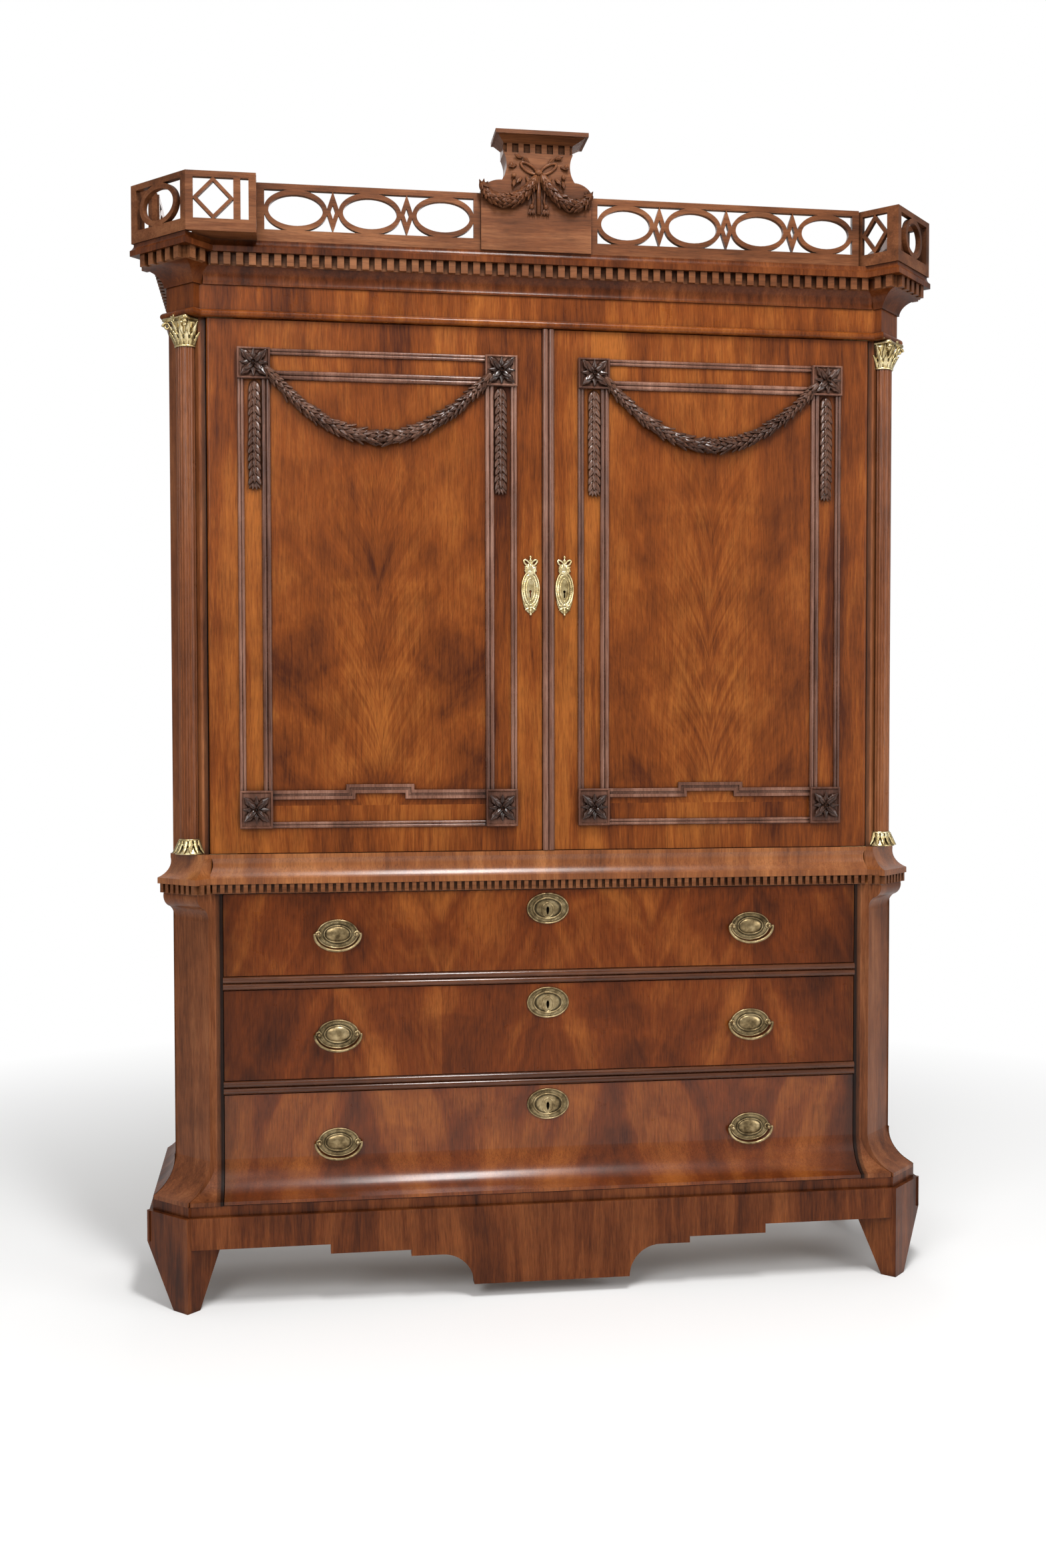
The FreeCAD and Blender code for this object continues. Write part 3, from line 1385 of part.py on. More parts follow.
def stepped_strip(name, left, right, top):
    """The doors' inner bottom moulding: a flat strip with two ridges, raised in the middle."""
    ridge = size.frame_ridge
    strip = size.inner_strip
    bands = [stepped_band(name + "_flat", left, right, top, 0, strip, "bead_strip_base"),
             stepped_band(name + "_upper", left, right, top, 0, ridge, "frame_ridge_out"),
             stepped_band(name + "_lower", left, right, top, strip - ridge, strip, "frame_ridge_out")]
    return fuse(name, *bands)


def door_frame(word, side):
    """Beaded strips inside and outside, corner blocks between them, stepped at the bottom."""
    outer, inner = size.frame_x, size.frame_meeting_x
    left = min(side * outer, side * inner)
    wide = outer - inner
    right = left + wide
    top = size.press_top - size.frame_top_drop
    low = size.press_floor + size.frame_bottom_rise
    clear_low = low + size.frame_block_low
    clear_high = top - size.frame_block_top
    tall = "door_height - frame_top_drop - frame_bottom_rise - frame_block_low - frame_block_top"
    across = "frame_x - frame_meeting_x - 2 * frame_width"
    name = "door_%s_" % word
    pieces = []

    def upright(tag, x, width, beads):
        strip = upright_strip(name + tag, width, beads, "", "", tall)
        strip.Placement.Base = Vector(x, 0, clear_low)
        pieces.append(strip)

    def level(tag, x, z, width, beads, length):
        strip = level_strip(name + tag, width, beads, "", "", length)
        strip.Placement.Base = Vector(x, 0, z)
        pieces.append(strip)

    upright("outer_left", left, size.bead_strip, 2)
    upright("outer_right", right - size.bead_strip, size.bead_strip, 2)
    upright("inner_left", left + size.frame_width - size.inner_strip, size.inner_strip, 2)
    upright("inner_right", right - size.frame_width, size.inner_strip, 2)
    start = left + size.frame_width
    level("outer_top", start, top, size.bead_strip, 2, across)
    level("inner_top", start, clear_high + size.inner_strip, size.inner_strip, 2, across)
    level("outer_low", start, low + size.bead_strip, size.bead_strip, 2, across)
    pieces.append(stepped_strip(name + "inner_low", start, right - size.frame_width, clear_low))
    for tag, x, z, high in (("tl", left, clear_high, "frame_block_top"),
                            ("tr", right - size.frame_width, clear_high, "frame_block_top"),
                            ("bl", left, low, "frame_block_low"),
                            ("br", right - size.frame_width, low, "frame_block_low")):
        corner = box(name + "block_" + tag, "frame_width", "frame_block_out", high)
        corner.Placement.Base = Vector(x, -size.frame_block_out, z)
        pieces.append(corner)
    if side > 0:
        strip = upright_strip("astragal", size.astragal_width, 2,
                              "-door_meeting + door_gap / 2", "press_floor + door_gap",
                              "door_height - 2 * door_gap")
        pieces.append(strip)
    node("door_%s_frame" % word, *pieces)


def rosette(name, x, z):
    """A turned disc with a boss, standing on a corner block."""
    disc = cylinder(name + "_disc", "rosette_radius", "rosette_out", "", "", "", 90.0, ACROSS)
    boss = dome(name + "_boss", "rosette_boss", "rosette_boss", "2 * rosette_out")
    whole = fuse(name, disc, boss)
    whole.Placement.Base = Vector(x, -size.frame_block_out, z)
    return whole


def door_carving(word, side):
    """Rosettes on the corner blocks, a laurel swag and the leaf drops below the top rosettes."""
    outer, inner = size.frame_x, size.frame_meeting_x
    left = min(side * outer, side * inner)
    right = left + outer - inner
    half = size.frame_width / 2
    top = size.press_top - size.frame_top_drop
    low = size.press_floor + size.frame_bottom_rise
    name = "door_%s_" % word
    pieces = []
    for tag, x in (("left", left + half), ("right", right - half)):
        pieces.append(rosette(name + "rosette_top_" + tag, x, top - size.frame_block_top / 2))
        pieces.append(rosette(name + "rosette_low_" + tag, x, low + size.frame_block_low / 2))
        spots = []
        count = 7
        for index in range(count):
            spots.append((0, -size.drop_length * (index + 0.5) / count, 90))
        drop = leaves(name + "drop_" + tag, spots, "0.6 * drop_length / 7", "drop_half", "")
        drop.Placement.Base = Vector(x, 0, top - size.frame_block_top - size.drop_gap)
        pieces.append(drop)
    width = right - left - 2 * (size.frame_width + size.swag_margin)
    swag = leaves(name + "swag", festoon(width, size.swag_sag, 17), "1.5 * swag_radius",
                  "swag_radius", "")
    swag.Placement.Base = Vector((left + right) / 2, 0, top - size.frame_block_top - size.swag_margin)
    pieces.append(swag)
    node("door_%s_carving" % word, *pieces)


def door_brasses(word, side):
    """The keyhole plate and, behind the door, the lock or the keeper and bolt brackets."""
    x = SIGN[word] + "scutcheon_x"
    plate = oval("door_%s_shield" % word, size.scutcheon_half, size.scutcheon_half_height,
                 size.plate_thick, "", x, "lock_z")
    knot = dome("door_%s_knot" % word, "scutcheon_crest", "scutcheon_crest", "plate_thick * 2",
                x, "", "lock_z + scutcheon_half_height")
    hole = keyhole("door_%s_shield_hole" % word, x, "overrun", "lock_z", "3 * overrun")
    pieces = [cut("door_%s_shield_cut" % word, fuse("door_%s_shield_whole" % word, plate, knot), hole)]
    back = "door_thick"
    if side > 0:
        case = box("door_lock", "door_lock_width", "lock_thick", "door_lock_height",
                   "-door_meeting + door_gap / 2", back, "lock_z - door_lock_height / 2")
        slot = box("door_lock_slot", "overrun + door_gap / 2 + bolt_length + bolt_clearance",
                   "bolt_thick + 2 * bolt_clearance",
                   "door_bolt_height + 2 * bolt_clearance", "-door_meeting - overrun",
                   back + " + lock_wall", "lock_z + door_bolt_rise - bolt_clearance")
        through = keyhole("door_lock_hole", "scutcheon_x", "door_thick + lock_thick + overrun",
                          "lock_z", "lock_thick + 2 * overrun")
        pieces.append(cut("door_lock_case", case, slot, through))
    else:
        keeper_x = "-door_meeting - keeper_set - keeper_width"
        low = "lock_z + door_bolt_rise"
        tall = "door_bolt_height + 2 * bolt_clearance"
        inside = "lock_wall + bolt_thick + 2 * bolt_clearance"
        for tag, thick, high, y, z in (
                ("foot", "lock_thick", "keeper_wall - bolt_clearance", back, low + " - keeper_wall"),
                ("head", "lock_thick", "keeper_wall - bolt_clearance", back,
                 low + " + door_bolt_height + bolt_clearance"),
                ("plate", "lock_wall", tall, back, low + " - bolt_clearance"),
                ("bridge", "lock_thick - (%s)" % inside, tall, "%s + %s" % (back, inside),
                 low + " - bolt_clearance")):
            pieces.append(box("door_keeper_" + tag, "keeper_width", thick, high, keeper_x, y, z))
        for level, start in (("low", "press_floor + flat_board + rod_set"),
                             ("high", "press_top - flat_board - rod_set - rod_length")):
            for count in (1, 2):
                bracket = box("rod_bracket_%s_%d" % (level, count), "bracket_wide",
                              "rod_stand + rod_radius + lock_wall", "bracket_tall",
                              "-door_meeting - rod_x - bracket_wide / 2", back,
                              start + " + %d * rod_length / 3 - bracket_tall / 2" % count)
                bore = cylinder("rod_bore_%s_%d" % (level, count), "rod_radius + pivot_clearance",
                                "rod_length", "-door_meeting - rod_x", back + " + rod_stand", start)
                pieces.append(cut("rod_guide_%s_%d" % (level, count), bracket, bore))
    node("door_%s_brasses" % word, *pieces)


def door_bolts():
    """The lock's bolt on the right door and the two sliding rods on the left door."""
    node("door_bolt", box("door_bolt_bar", "bolt_length", "bolt_thick", "door_bolt_height",
                          "-door_meeting + door_gap / 2", "door_thick + lock_wall + bolt_clearance",
                          "lock_z + door_bolt_rise"))
    for level, start in (("lower", "press_floor + flat_board + rod_set"),
                         ("upper", "press_top - flat_board - rod_set - rod_length")):
        node("door_rod_" + level, cylinder("rod_" + level, "rod_radius", "rod_length",
                                           "-door_meeting - rod_x", "door_thick + rod_stand", start))


for maker in (press_shell, columns, entablature, gallery, crest, crest_carving, pivot_pins, door_bolts):
    maker()
for side_word, side_sign in SIDES:
    node("door_%s_panel" % side_word, door_panel(side_word, side_sign))
    door_frame(side_word, side_sign)
    door_carving(side_word, side_sign)
    door_brasses(side_word, side_sign)


def write_parts():
    """Check every object of the document, then write each sub-part."""
    doc.recompute()
    for item in doc.Objects:
        if "Invalid" in item.State or "Error" in item.State:
            raise RuntimeError("%s failed: %s" % (item.Name, item.State))
    os.makedirs("parts", exist_ok=True)
    for item in nodes:
        if item.Shape.isNull() or not item.Shape.isValid() or not item.Shape.Solids:
            raise RuntimeError("%s has no valid solid" % item.Label)
        item.Shape.exportStep("parts/%s.step" % item.Label)
        print("%-28s solids %3d volume %12.0f" % (item.Label, len(item.Shape.Solids), item.Shape.Volume))
    print("nodes", len(nodes))


write_parts()
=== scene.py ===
import math
import random

import bpy
from mathutils import Matrix, Vector


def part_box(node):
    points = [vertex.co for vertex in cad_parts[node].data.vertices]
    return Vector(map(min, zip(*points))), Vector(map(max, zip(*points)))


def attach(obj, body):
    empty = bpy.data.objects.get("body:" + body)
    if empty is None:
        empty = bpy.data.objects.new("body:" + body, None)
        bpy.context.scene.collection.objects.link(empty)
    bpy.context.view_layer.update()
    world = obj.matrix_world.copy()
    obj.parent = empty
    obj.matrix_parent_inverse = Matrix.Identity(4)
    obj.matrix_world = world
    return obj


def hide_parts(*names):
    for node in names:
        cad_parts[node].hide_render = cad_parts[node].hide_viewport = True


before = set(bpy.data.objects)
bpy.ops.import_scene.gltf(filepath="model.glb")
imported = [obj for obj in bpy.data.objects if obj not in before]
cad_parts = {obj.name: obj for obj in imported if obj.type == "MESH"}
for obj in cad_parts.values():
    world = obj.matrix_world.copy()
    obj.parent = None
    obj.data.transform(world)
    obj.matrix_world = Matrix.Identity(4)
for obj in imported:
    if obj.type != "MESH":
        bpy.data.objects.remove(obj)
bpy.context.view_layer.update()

# Places and sizes that the CAD gives, in metres. FACE is the plane of the drawers and doors.
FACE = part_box("drawer_middle_front")[0].y
DOORS = {"left": -0.3805, "right": 0.3805}
INNER_HALF = 0.2385
FRAME_HALF = 0.3105
FRAME_LOW = 1.060
FRAME_TOP = 2.119
BLOCK_LOW = 0.084
BLOCK_TOP = 0.068
BLOCK_HALF = 0.036
BLOCK_RISE = 0.011
KNOT_X = -0.0255
CREST_RISE = 0.040
HANDLE_X = 0.478
POST_X = 0.043
# The heights of each drawer's handles and keyhole plate.
PLATES = {"bottom": (0.350, 0.4205), "middle": (0.595, 0.6545), "top": (0.821, 0.8705)}
COLUMN_X = 0.802
COLUMN_BACK = 0.027
SCUTCHEON_X = 0.039
SCUTCHEON_Z = 1.596
OUT = Vector((0, -1, 0))
UP = Vector((0, 0, 1))
FULL_TURN = 2 * math.pi


# ---------------------------------------------------------------- materials

class Paint:
    """A node material under construction."""

    def __init__(self, name):
        self.mat = bpy.data.materials.new(name)
        self.mat.use_nodes = True
        self.tree = self.mat.node_tree
        self.shader = self.tree.nodes["Principled BSDF"]
        self.place = self.tree.nodes.new("ShaderNodeTexCoord").outputs["Object"]
        parts = self.tree.nodes.new("ShaderNodeSeparateXYZ")
        self.tree.links.new(self.place, parts.inputs[0])
        self.x, self.y, self.z = parts.outputs

    def put(self, socket, value):
        """Link a socket to the value, or write the value on it."""
        if isinstance(value, bpy.types.NodeSocket):
            self.tree.links.new(value, socket)
        else:
            socket.default_value = value

    def calc(self, op, a, b=0.0, c=0.0):
        node = self.tree.nodes.new("ShaderNodeMath")
        node.operation = op
        for socket, value in zip(node.inputs, (a, b, c)):
            self.put(socket, value)
        return node.outputs[0]

    def vector(self, x, y, z):
        node = self.tree.nodes.new("ShaderNodeCombineXYZ")
        for socket, value in zip(node.inputs, (x, y, z)):
            self.put(socket, value)
        return node.outputs[0]

    def stretch(self, place, scale):
        node = self.tree.nodes.new("ShaderNodeVectorMath")
        node.operation = "MULTIPLY"
        self.put(node.inputs[0], place)
        node.inputs[1].default_value = scale
        return node.outputs[0]

    def noise(self, place, scale, detail=3.0, rough=0.5, twist=0.0, colour=False):
        node = self.tree.nodes.new("ShaderNodeTexNoise")
        self.put(node.inputs["Vector"], place)
        node.inputs["Scale"].default_value = scale
        node.inputs["Detail"].default_value = detail
        node.inputs["Roughness"].default_value = rough
        node.inputs["Distortion"].default_value = twist
        return node.outputs[1 if colour else 0]

    def wobble(self, place, scale, size):
        """The place, pushed about by a soft noise."""
        push = self.tree.nodes.new("ShaderNodeVectorMath")
        push.operation = "SUBTRACT"
        self.put(push.inputs[0], self.noise(place, scale, 2.0, colour=True))
        push.inputs[1].default_value = (0.5, 0.5, 0.5)
        add = self.tree.nodes.new("ShaderNodeVectorMath")
        add.operation = "ADD"
        self.put(add.inputs[0], place)
        self.put(add.inputs[1], self.stretch(push.outputs[0], (size, size, size)))
        return add.outputs[0]

    def ramp(self, value, stops):
        """A colour ramp; a stop's colour is a triple or one grey number."""
        node = self.tree.nodes.new("ShaderNodeValToRGB")
        self.put(node.inputs[0], value)
        points = node.color_ramp.elements
        while len(points) < len(stops):
            points.new(0.5)
        for point, (place, colour) in zip(points, stops):
            point.position = place
            if not hasattr(colour, "__len__"):
                colour = (colour,) * 3
            point.color = (*colour, 1.0)
        return node.outputs[0]

    def mix(self, share, a, b, blend="MIX"):
        node = self.tree.nodes.new("ShaderNodeMix")
        node.data_type = "RGBA"
        node.blend_type = blend
        for index, value in ((0, share), (6, a), (7, b)):
            if hasattr(value, "__len__") and len(value) == 3:
                value = (*value, 1.0)
            self.put(node.inputs[index], value)
        return node.outputs[2]

    def bump(self, height, strength, distance):
        node = self.tree.nodes.new("ShaderNodeBump")
        node.inputs["Strength"].default_value = strength
        node.inputs["Distance"].default_value = distance
        self.put(node.inputs["Height"], height)
        self.put(self.shader.inputs["Normal"], node.outputs[0])

    def corners(self, reach):
        """A grey of painted shade that darkens gaps and corners, from how near other surfaces are."""
        node = self.tree.nodes.new("ShaderNodeAmbientOcclusion")
        node.samples = 6
        node.inputs["Distance"].default_value = reach
        return self.ramp(node.outputs["AO"], [(0.18, 0.10), (0.80, 1.0)])

    def set(self, name, value):
        self.put(self.shader.inputs[name], value)


# How far bands and pores are drawn out along a level or an upright grain.
ALONG = {"x": (0.07, 1.0, 1.0), "z": (1.0, 1.0, 0.07)}
PORES = {"x": (0.035, 1.0, 1.0), "z": (1.0, 1.0, 0.035)}


def plain_tone(paint, grain, seed=0.0):
    """Straight grain: broad bands, narrow bands, fibres and cloudy patches, about 0.5."""
    spot = paint.vector(paint.calc("ADD", paint.x, seed), paint.y, paint.z)
    spot = paint.wobble(spot, 2.4, 0.035)
    run = paint.stretch(spot, ALONG[grain])
    tone = paint.calc("MULTIPLY", paint.noise(run, 9.0, 3.0), 0.36)
    tone = paint.calc("MULTIPLY_ADD", paint.noise(run, 38.0, 4.0, 0.55, 0.4), 0.26, tone)
    tone = paint.calc("MULTIPLY_ADD", paint.noise(run, 210.0, 4.0, 0.65), 0.20, tone)
    tone = paint.calc("MULTIPLY_ADD", paint.noise(spot, 5.5, 3.0), 0.18, tone)
    return tone


def finish_wood(paint, tone, colours, grain, rough=0.34, coat=0.12, contrast=1.0, joint=None,
                soft=0.13):
    """Colour, pores, dirt, painted shade in gaps and corners, sheen and a fine relief from a tone about
    0.5. joint is a grey for dark joint lines and painted shade near joints, soft is how blurred the polish
    reflects."""
    dark, middle, light = colours
    reach = 0.13 / contrast
    colour = paint.ramp(tone, [(0.5 - reach, dark), (0.5, middle), (0.5 + reach, light)])
    pore_run = paint.stretch(paint.place, PORES[grain])
    pores = paint.ramp(paint.noise(pore_run, 900.0, 2.0, 0.6), [(0.36, 0.0), (0.5, 1.0)])
    colour = paint.mix(0.34, colour, pores, "MULTIPLY")
    dirt = paint.ramp(paint.noise(paint.place, 11.0, 5.0, 0.6), [(0.30, 0.66), (0.55, 1.0)])
    colour = paint.mix(0.6, colour, dirt, "MULTIPLY")
    # Painted shade in gaps and corners, from the corners grey.
    colour = paint.mix(0.9, colour, paint.corners(0.022), "MULTIPLY")
    # Painted shade at known joints.
    if joint is not None:
        colour = paint.mix(1.0, colour, joint, "MULTIPLY")
    paint.set("Base Color", colour)
    sheen = paint.noise(paint.place, 26.0, 4.0, 0.6)
    paint.set("Roughness", paint.calc("MULTIPLY_ADD", sheen, 0.2, rough - 0.1))
    paint.set("Coat Weight", coat)
    paint.set("Coat Roughness", soft)
    paint.set("Specular IOR Level", 0.10)
    height = paint.calc("MULTIPLY_ADD", pores, 0.5, tone)
    paint.bump(height, 0.16, 0.0006)
    return paint.mat


# Colours in linear light: dark, middle and light of each wood.
WARM = ((0.042, 0.009, 0.002), (0.124, 0.026, 0.004), (0.245, 0.070, 0.012))
PANEL = ((0.055, 0.012, 0.003), (0.158, 0.038, 0.006), (0.270, 0.082, 0.014))
LIGHT = ((0.085, 0.023, 0.006), (0.205, 0.062, 0.015), (0.340, 0.125, 0.036))
POST = ((0.065, 0.018, 0.006), (0.160, 0.049, 0.016), (0.250, 0.092, 0.034))
DEEP = ((0.030, 0.007, 0.002), (0.096, 0.023, 0.005), (0.180, 0.052, 0.013))
FRET = ((0.048, 0.016, 0.006), (0.126, 0.042, 0.015), (0.215, 0.086, 0.036))
CARVED = ((0.018, 0.009, 0.006), (0.054, 0.022, 0.013), (0.125, 0.058, 0.036))
GARLAND = ((0.030, 0.013, 0.008), (0.090, 0.038, 0.022), (0.200, 0.098, 0.062))
BEAD = ((0.024, 0.008, 0.003), (0.072, 0.021, 0.007), (0.150, 0.052, 0.020))
STRIP = ((0.050, 0.020, 0.013), (0.150, 0.066, 0.042), (0.280, 0.145, 0.100))
PALE = ((0.150, 0.078, 0.030), (0.265, 0.150, 0.066), (0.370, 0.228, 0.112))


def wood(name, colours, grain="z", seed=0.0, rough=0.34, coat=0.12, contrast=1.0, shade_edge=None,
         soft=0.13):
    """Plain wood; shade_edge is how far from the middle its inner joint lies, where a dark line and painted
    shade start and fade outwards over about 13 mm.
    """
    paint = Paint(name)
    joint = None
    if shade_edge:
        # A dark joint line at shade_edge, with painted shade that fades out from it over about 13 mm.
        away = paint.calc("SUBTRACT", paint.calc("ABSOLUTE", paint.x), shade_edge)
        dark = [(0.0, 0.07), (0.2, 0.38), (0.9, 0.58), (1.3, 1.0)]
        joint = paint.ramp(paint.calc("MULTIPLY", away, 100.0), dark)
    tone = plain_tone(paint, grain, seed)
    return finish_wood(paint, tone, colours, grain, rough, coat, contrast, joint, soft)


def feather_tone(paint, across, seed):
    """Crotch figure: barbs that leave the middle line upwards and bend outwards, clouds that
    match on both sides of it, two dark lines that fork and a lighter core low down."""
    wave = paint.noise(paint.place, 4.0, 3.0)
    side = paint.calc("ABSOLUTE", paint.calc("ADD", across, paint.calc("MULTIPLY_ADD", wave, 0.03, -0.015)))
    bend = paint.calc("POWER", side, 0.66)
    barb = paint.calc("SUBTRACT", paint.z, paint.calc("MULTIPLY", bend, 1.05))
    lines = paint.vector(barb, paint.calc("MULTIPLY", side, 0.16), seed)
    tone = paint.calc("MULTIPLY", paint.noise(lines, 13.0, 4.0, 0.55, 0.5), 0.16)
    tone = paint.calc("MULTIPLY_ADD", paint.noise(lines, 60.0, 5.0, 0.66, 0.3), 0.28, tone)
    near = paint.ramp(side, [(0.02, 1.0), (0.13, 0.25)])
    tone = paint.calc("MULTIPLY_ADD", paint.calc("SUBTRACT", tone, 0.22), near, 0.22)
    matched = paint.wobble(paint.vector(side, seed, paint.calc("MULTIPLY", paint.z, 0.7)), 7.0, 0.06)
    tone = paint.calc("MULTIPLY_ADD", paint.noise(matched, 7.5, 5.0, 0.6, 0.6), 0.38, tone)
    fibres = paint.stretch(paint.place, ALONG["z"])
    tone = paint.calc("MULTIPLY_ADD", paint.noise(fibres, 210.0, 4.0, 0.65), 0.18, tone)
    spread = paint.calc("MULTIPLY", paint.calc("SUBTRACT", paint.z, 1.60), 0.28)
    fork = paint.calc("ABSOLUTE", paint.calc("SUBTRACT", side, spread))
    fork = paint.ramp(fork, [(0.0, 1.0), (0.014, 0.0)])
    span = paint.calc("SUBTRACT", paint.z, 1.5)
    span = paint.ramp(span, [(0.08, 0.0), (0.16, 1.0), (0.32, 0.7), (0.46, 0.0)])
    fork = paint.calc("MULTIPLY", fork, span)
    tone = paint.calc("MULTIPLY_ADD", fork, -0.075, tone)
    core = paint.ramp(side, [(0.0, 1.0), (0.11, 0.0)])
    low = paint.ramp(paint.calc("SUBTRACT", paint.z, 1.15), [(0.0, 1.0), (0.45, 0.0)])
    return paint.calc("MULTIPLY_ADD", paint.calc("MULTIPLY", core, low), 0.035, tone)


def leaf_tone(paint, side, leaf, lean, low, seed):
    """Matched leaves of veneer, mirrored at every joint, with streaks that lean in each leaf."""
    across = paint.calc("PINGPONG", side, leaf)
    wave = paint.noise(paint.place, 5.0, 2.0)
    across = paint.calc("ADD", across, paint.calc("MULTIPLY_ADD", wave, 0.05, -0.025))
    run = paint.calc("MULTIPLY", paint.calc("SUBTRACT", paint.z, low), lean)
    lines = paint.vector(paint.calc("SUBTRACT", across, run), paint.calc("MULTIPLY", paint.z, 0.13), seed)
    tone = paint.calc("MULTIPLY", paint.noise(lines, 9.0, 2.0, 0.5, 0.6), 0.36)
    tone = paint.calc("MULTIPLY_ADD", paint.noise(lines, 48.0, 4.0, 0.6, 0.4), 0.16, tone)
    curl = paint.wobble(paint.place, 7.0, 0.06)
    tone = paint.calc("MULTIPLY_ADD", paint.noise(curl, 6.0, 4.0, 0.55, 0.8), 0.34, tone)
    fibres = paint.stretch(paint.place, ALONG["z"])
    return paint.calc("MULTIPLY_ADD", paint.noise(fibres, 210.0, 4.0, 0.65), 0.14, tone)


def door_paint(name, middle, seed):
    """Matched flame veneer inside the mouldings, upright grain round it."""
    paint = Paint(name)
    across = paint.calc("SUBTRACT", paint.x, middle)
    flame = feather_tone(paint, across, seed)
    plain = plain_tone(paint, "z", seed)
    inside = paint.calc("LESS_THAN", paint.calc("ABSOLUTE", across), INNER_HALF)
    inside = paint.calc("MULTIPLY", inside, paint.calc("GREATER_THAN", paint.z, FRAME_LOW + 0.05))
    inside = paint.calc("MULTIPLY", inside, paint.calc("LESS_THAN", paint.z, FRAME_TOP - 0.05))
    fade = paint.ramp(paint.calc("SUBTRACT", paint.z, 1.1), [(0.35, 1.0), (0.92, 0.30)])
    inside = paint.calc("MULTIPLY", inside, fade)
    tone = paint.calc("MULTIPLY_ADD", paint.calc("SUBTRACT", flame, plain), inside, plain)
    return finish_wood(paint, tone, PANEL, "z", 0.36, 0.1, 1.25)


def drawer_paint(name, low, leaf, lean, seed, coat=0.12, soft=0.13):
    """Upright flame in matched leaves, each a little lighter or darker than the next, with painted
    shade that darkens the drawer's ends beside the joints."""
    paint = Paint(name)
    side = paint.calc("ADD", paint.x, 0.73)
    flame = leaf_tone(paint, side, leaf, lean, low, seed)
    number = paint.calc("FLOOR", paint.calc("DIVIDE", side, leaf))
    shade = paint.noise(paint.vector(number, seed, 0.3), 7.3, 0.0)
    tone = paint.calc("ADD", flame, paint.calc("MULTIPLY_ADD", shade, 0.16, -0.08))
    # Painted shade towards the drawer's ends, darkest beside the joints.
    away = paint.calc("ABSOLUTE", paint.x)
    ends = paint.ramp(paint.calc("MULTIPLY", paint.calc("SUBTRACT", away, 0.60), 5.0),
                      [(0.0, 1.0), (0.5, 0.78), (0.63, 0.5)])
    return finish_wood(paint, tone, WARM, "z", 0.31, coat, 0.95, ends, soft)


def ellipse_reach(paint, x, z, half, high):
    """The square of how far a spot is out from the middle of an ellipse, one at its rim."""
    across = paint.calc("DIVIDE", x, half)
    up = paint.calc("DIVIDE", z, high)
    return paint.calc("ADD", paint.calc("MULTIPLY", across, across), paint.calc("MULTIPLY", up, up))


def plate_ring_shade(paint, colour, handle_z, key_z):
    """Painted shade in the hollow rings between the rims of a drawer's plates, and the shadow in its
    keyhole.
    """
    away = paint.calc("ABSOLUTE", paint.x)
    aside = paint.calc("SUBTRACT", away, HANDLE_X)
    # Painted shade by distance from each plate's middle: dark in the hollow rings, light on the rims.
    hollow_shade = [(0.34, 0.9), (0.41, 0.75), (0.46, 0.12), (0.56, 0.14), (0.62, 0.9), (0.68, 0.7),
               (0.73, 0.3), (0.79, 1.0)]
    rings = []
    for x, middle_z, half, high in ((aside, handle_z, 0.046, 0.032), (away, key_z, 0.048, 0.035)):
        far = ellipse_reach(paint, x, paint.calc("SUBTRACT", paint.z, middle_z), half, high)
        rings.append(paint.ramp(paint.calc("MULTIPLY", paint.calc("SQRT", far), 0.8), hollow_shade))
    colour = paint.mix(0.9, colour, paint.mix(1.0, rings[0], rings[1], "MULTIPLY"), "MULTIPLY")
    # Painted shadow in the keyhole.
    hole = ellipse_reach(paint, away, paint.calc("SUBTRACT", paint.z, key_z - 0.004), 0.0042, 0.0095)
    return paint.mix(1.0, colour, paint.ramp(hole, [(0.5, 0.04), (1.0, 1.0)]), "MULTIPLY")


def brass(name, colours, rough=0.33, plate=None):
    """Old brass with painted shade in its grooves; plate holds the heights of a drawer's plates."""
    paint = Paint(name)
    tone = paint.noise(paint.place, 90.0, 5.0, 0.6)
    cloud = paint.noise(paint.place, 22.0, 3.0)
    tone = paint.calc("MULTIPLY_ADD", cloud, 0.5, paint.calc("MULTIPLY", tone, 0.5))
    dark, middle, light = colours
    colour = paint.ramp(tone, [(0.36, dark), (0.5, middle), (0.62, light)])
    # Painted shade in grooves and corners, from the corners grey.
    colour = paint.mix(0.92, colour, paint.corners(0.006), "MULTIPLY")
    # Painted shade in the hollows of a drawer's plates.
    if plate:
        colour = plate_ring_shade(paint, colour, *plate)
    paint.set("Base Color", colour)
    paint.set("Metallic", 0.9)
    paint.set("Roughness", paint.calc("MULTIPLY_ADD", tone, -0.3, rough + 0.15))
    paint.bump(paint.noise(paint.place, 420.0, 3.0), 0.12, 0.0004)
    return paint.mat


AGED = ((0.080, 0.053, 0.023), (0.270, 0.195, 0.095), (0.480, 0.370, 0.200))
GILT = ((0.220, 0.150, 0.055), (0.600, 0.470, 0.230), (0.880, 0.760, 0.470))
STEEL = ((0.12, 0.11, 0.10), (0.26, 0.25, 0.23), (0.40, 0.38, 0.35))


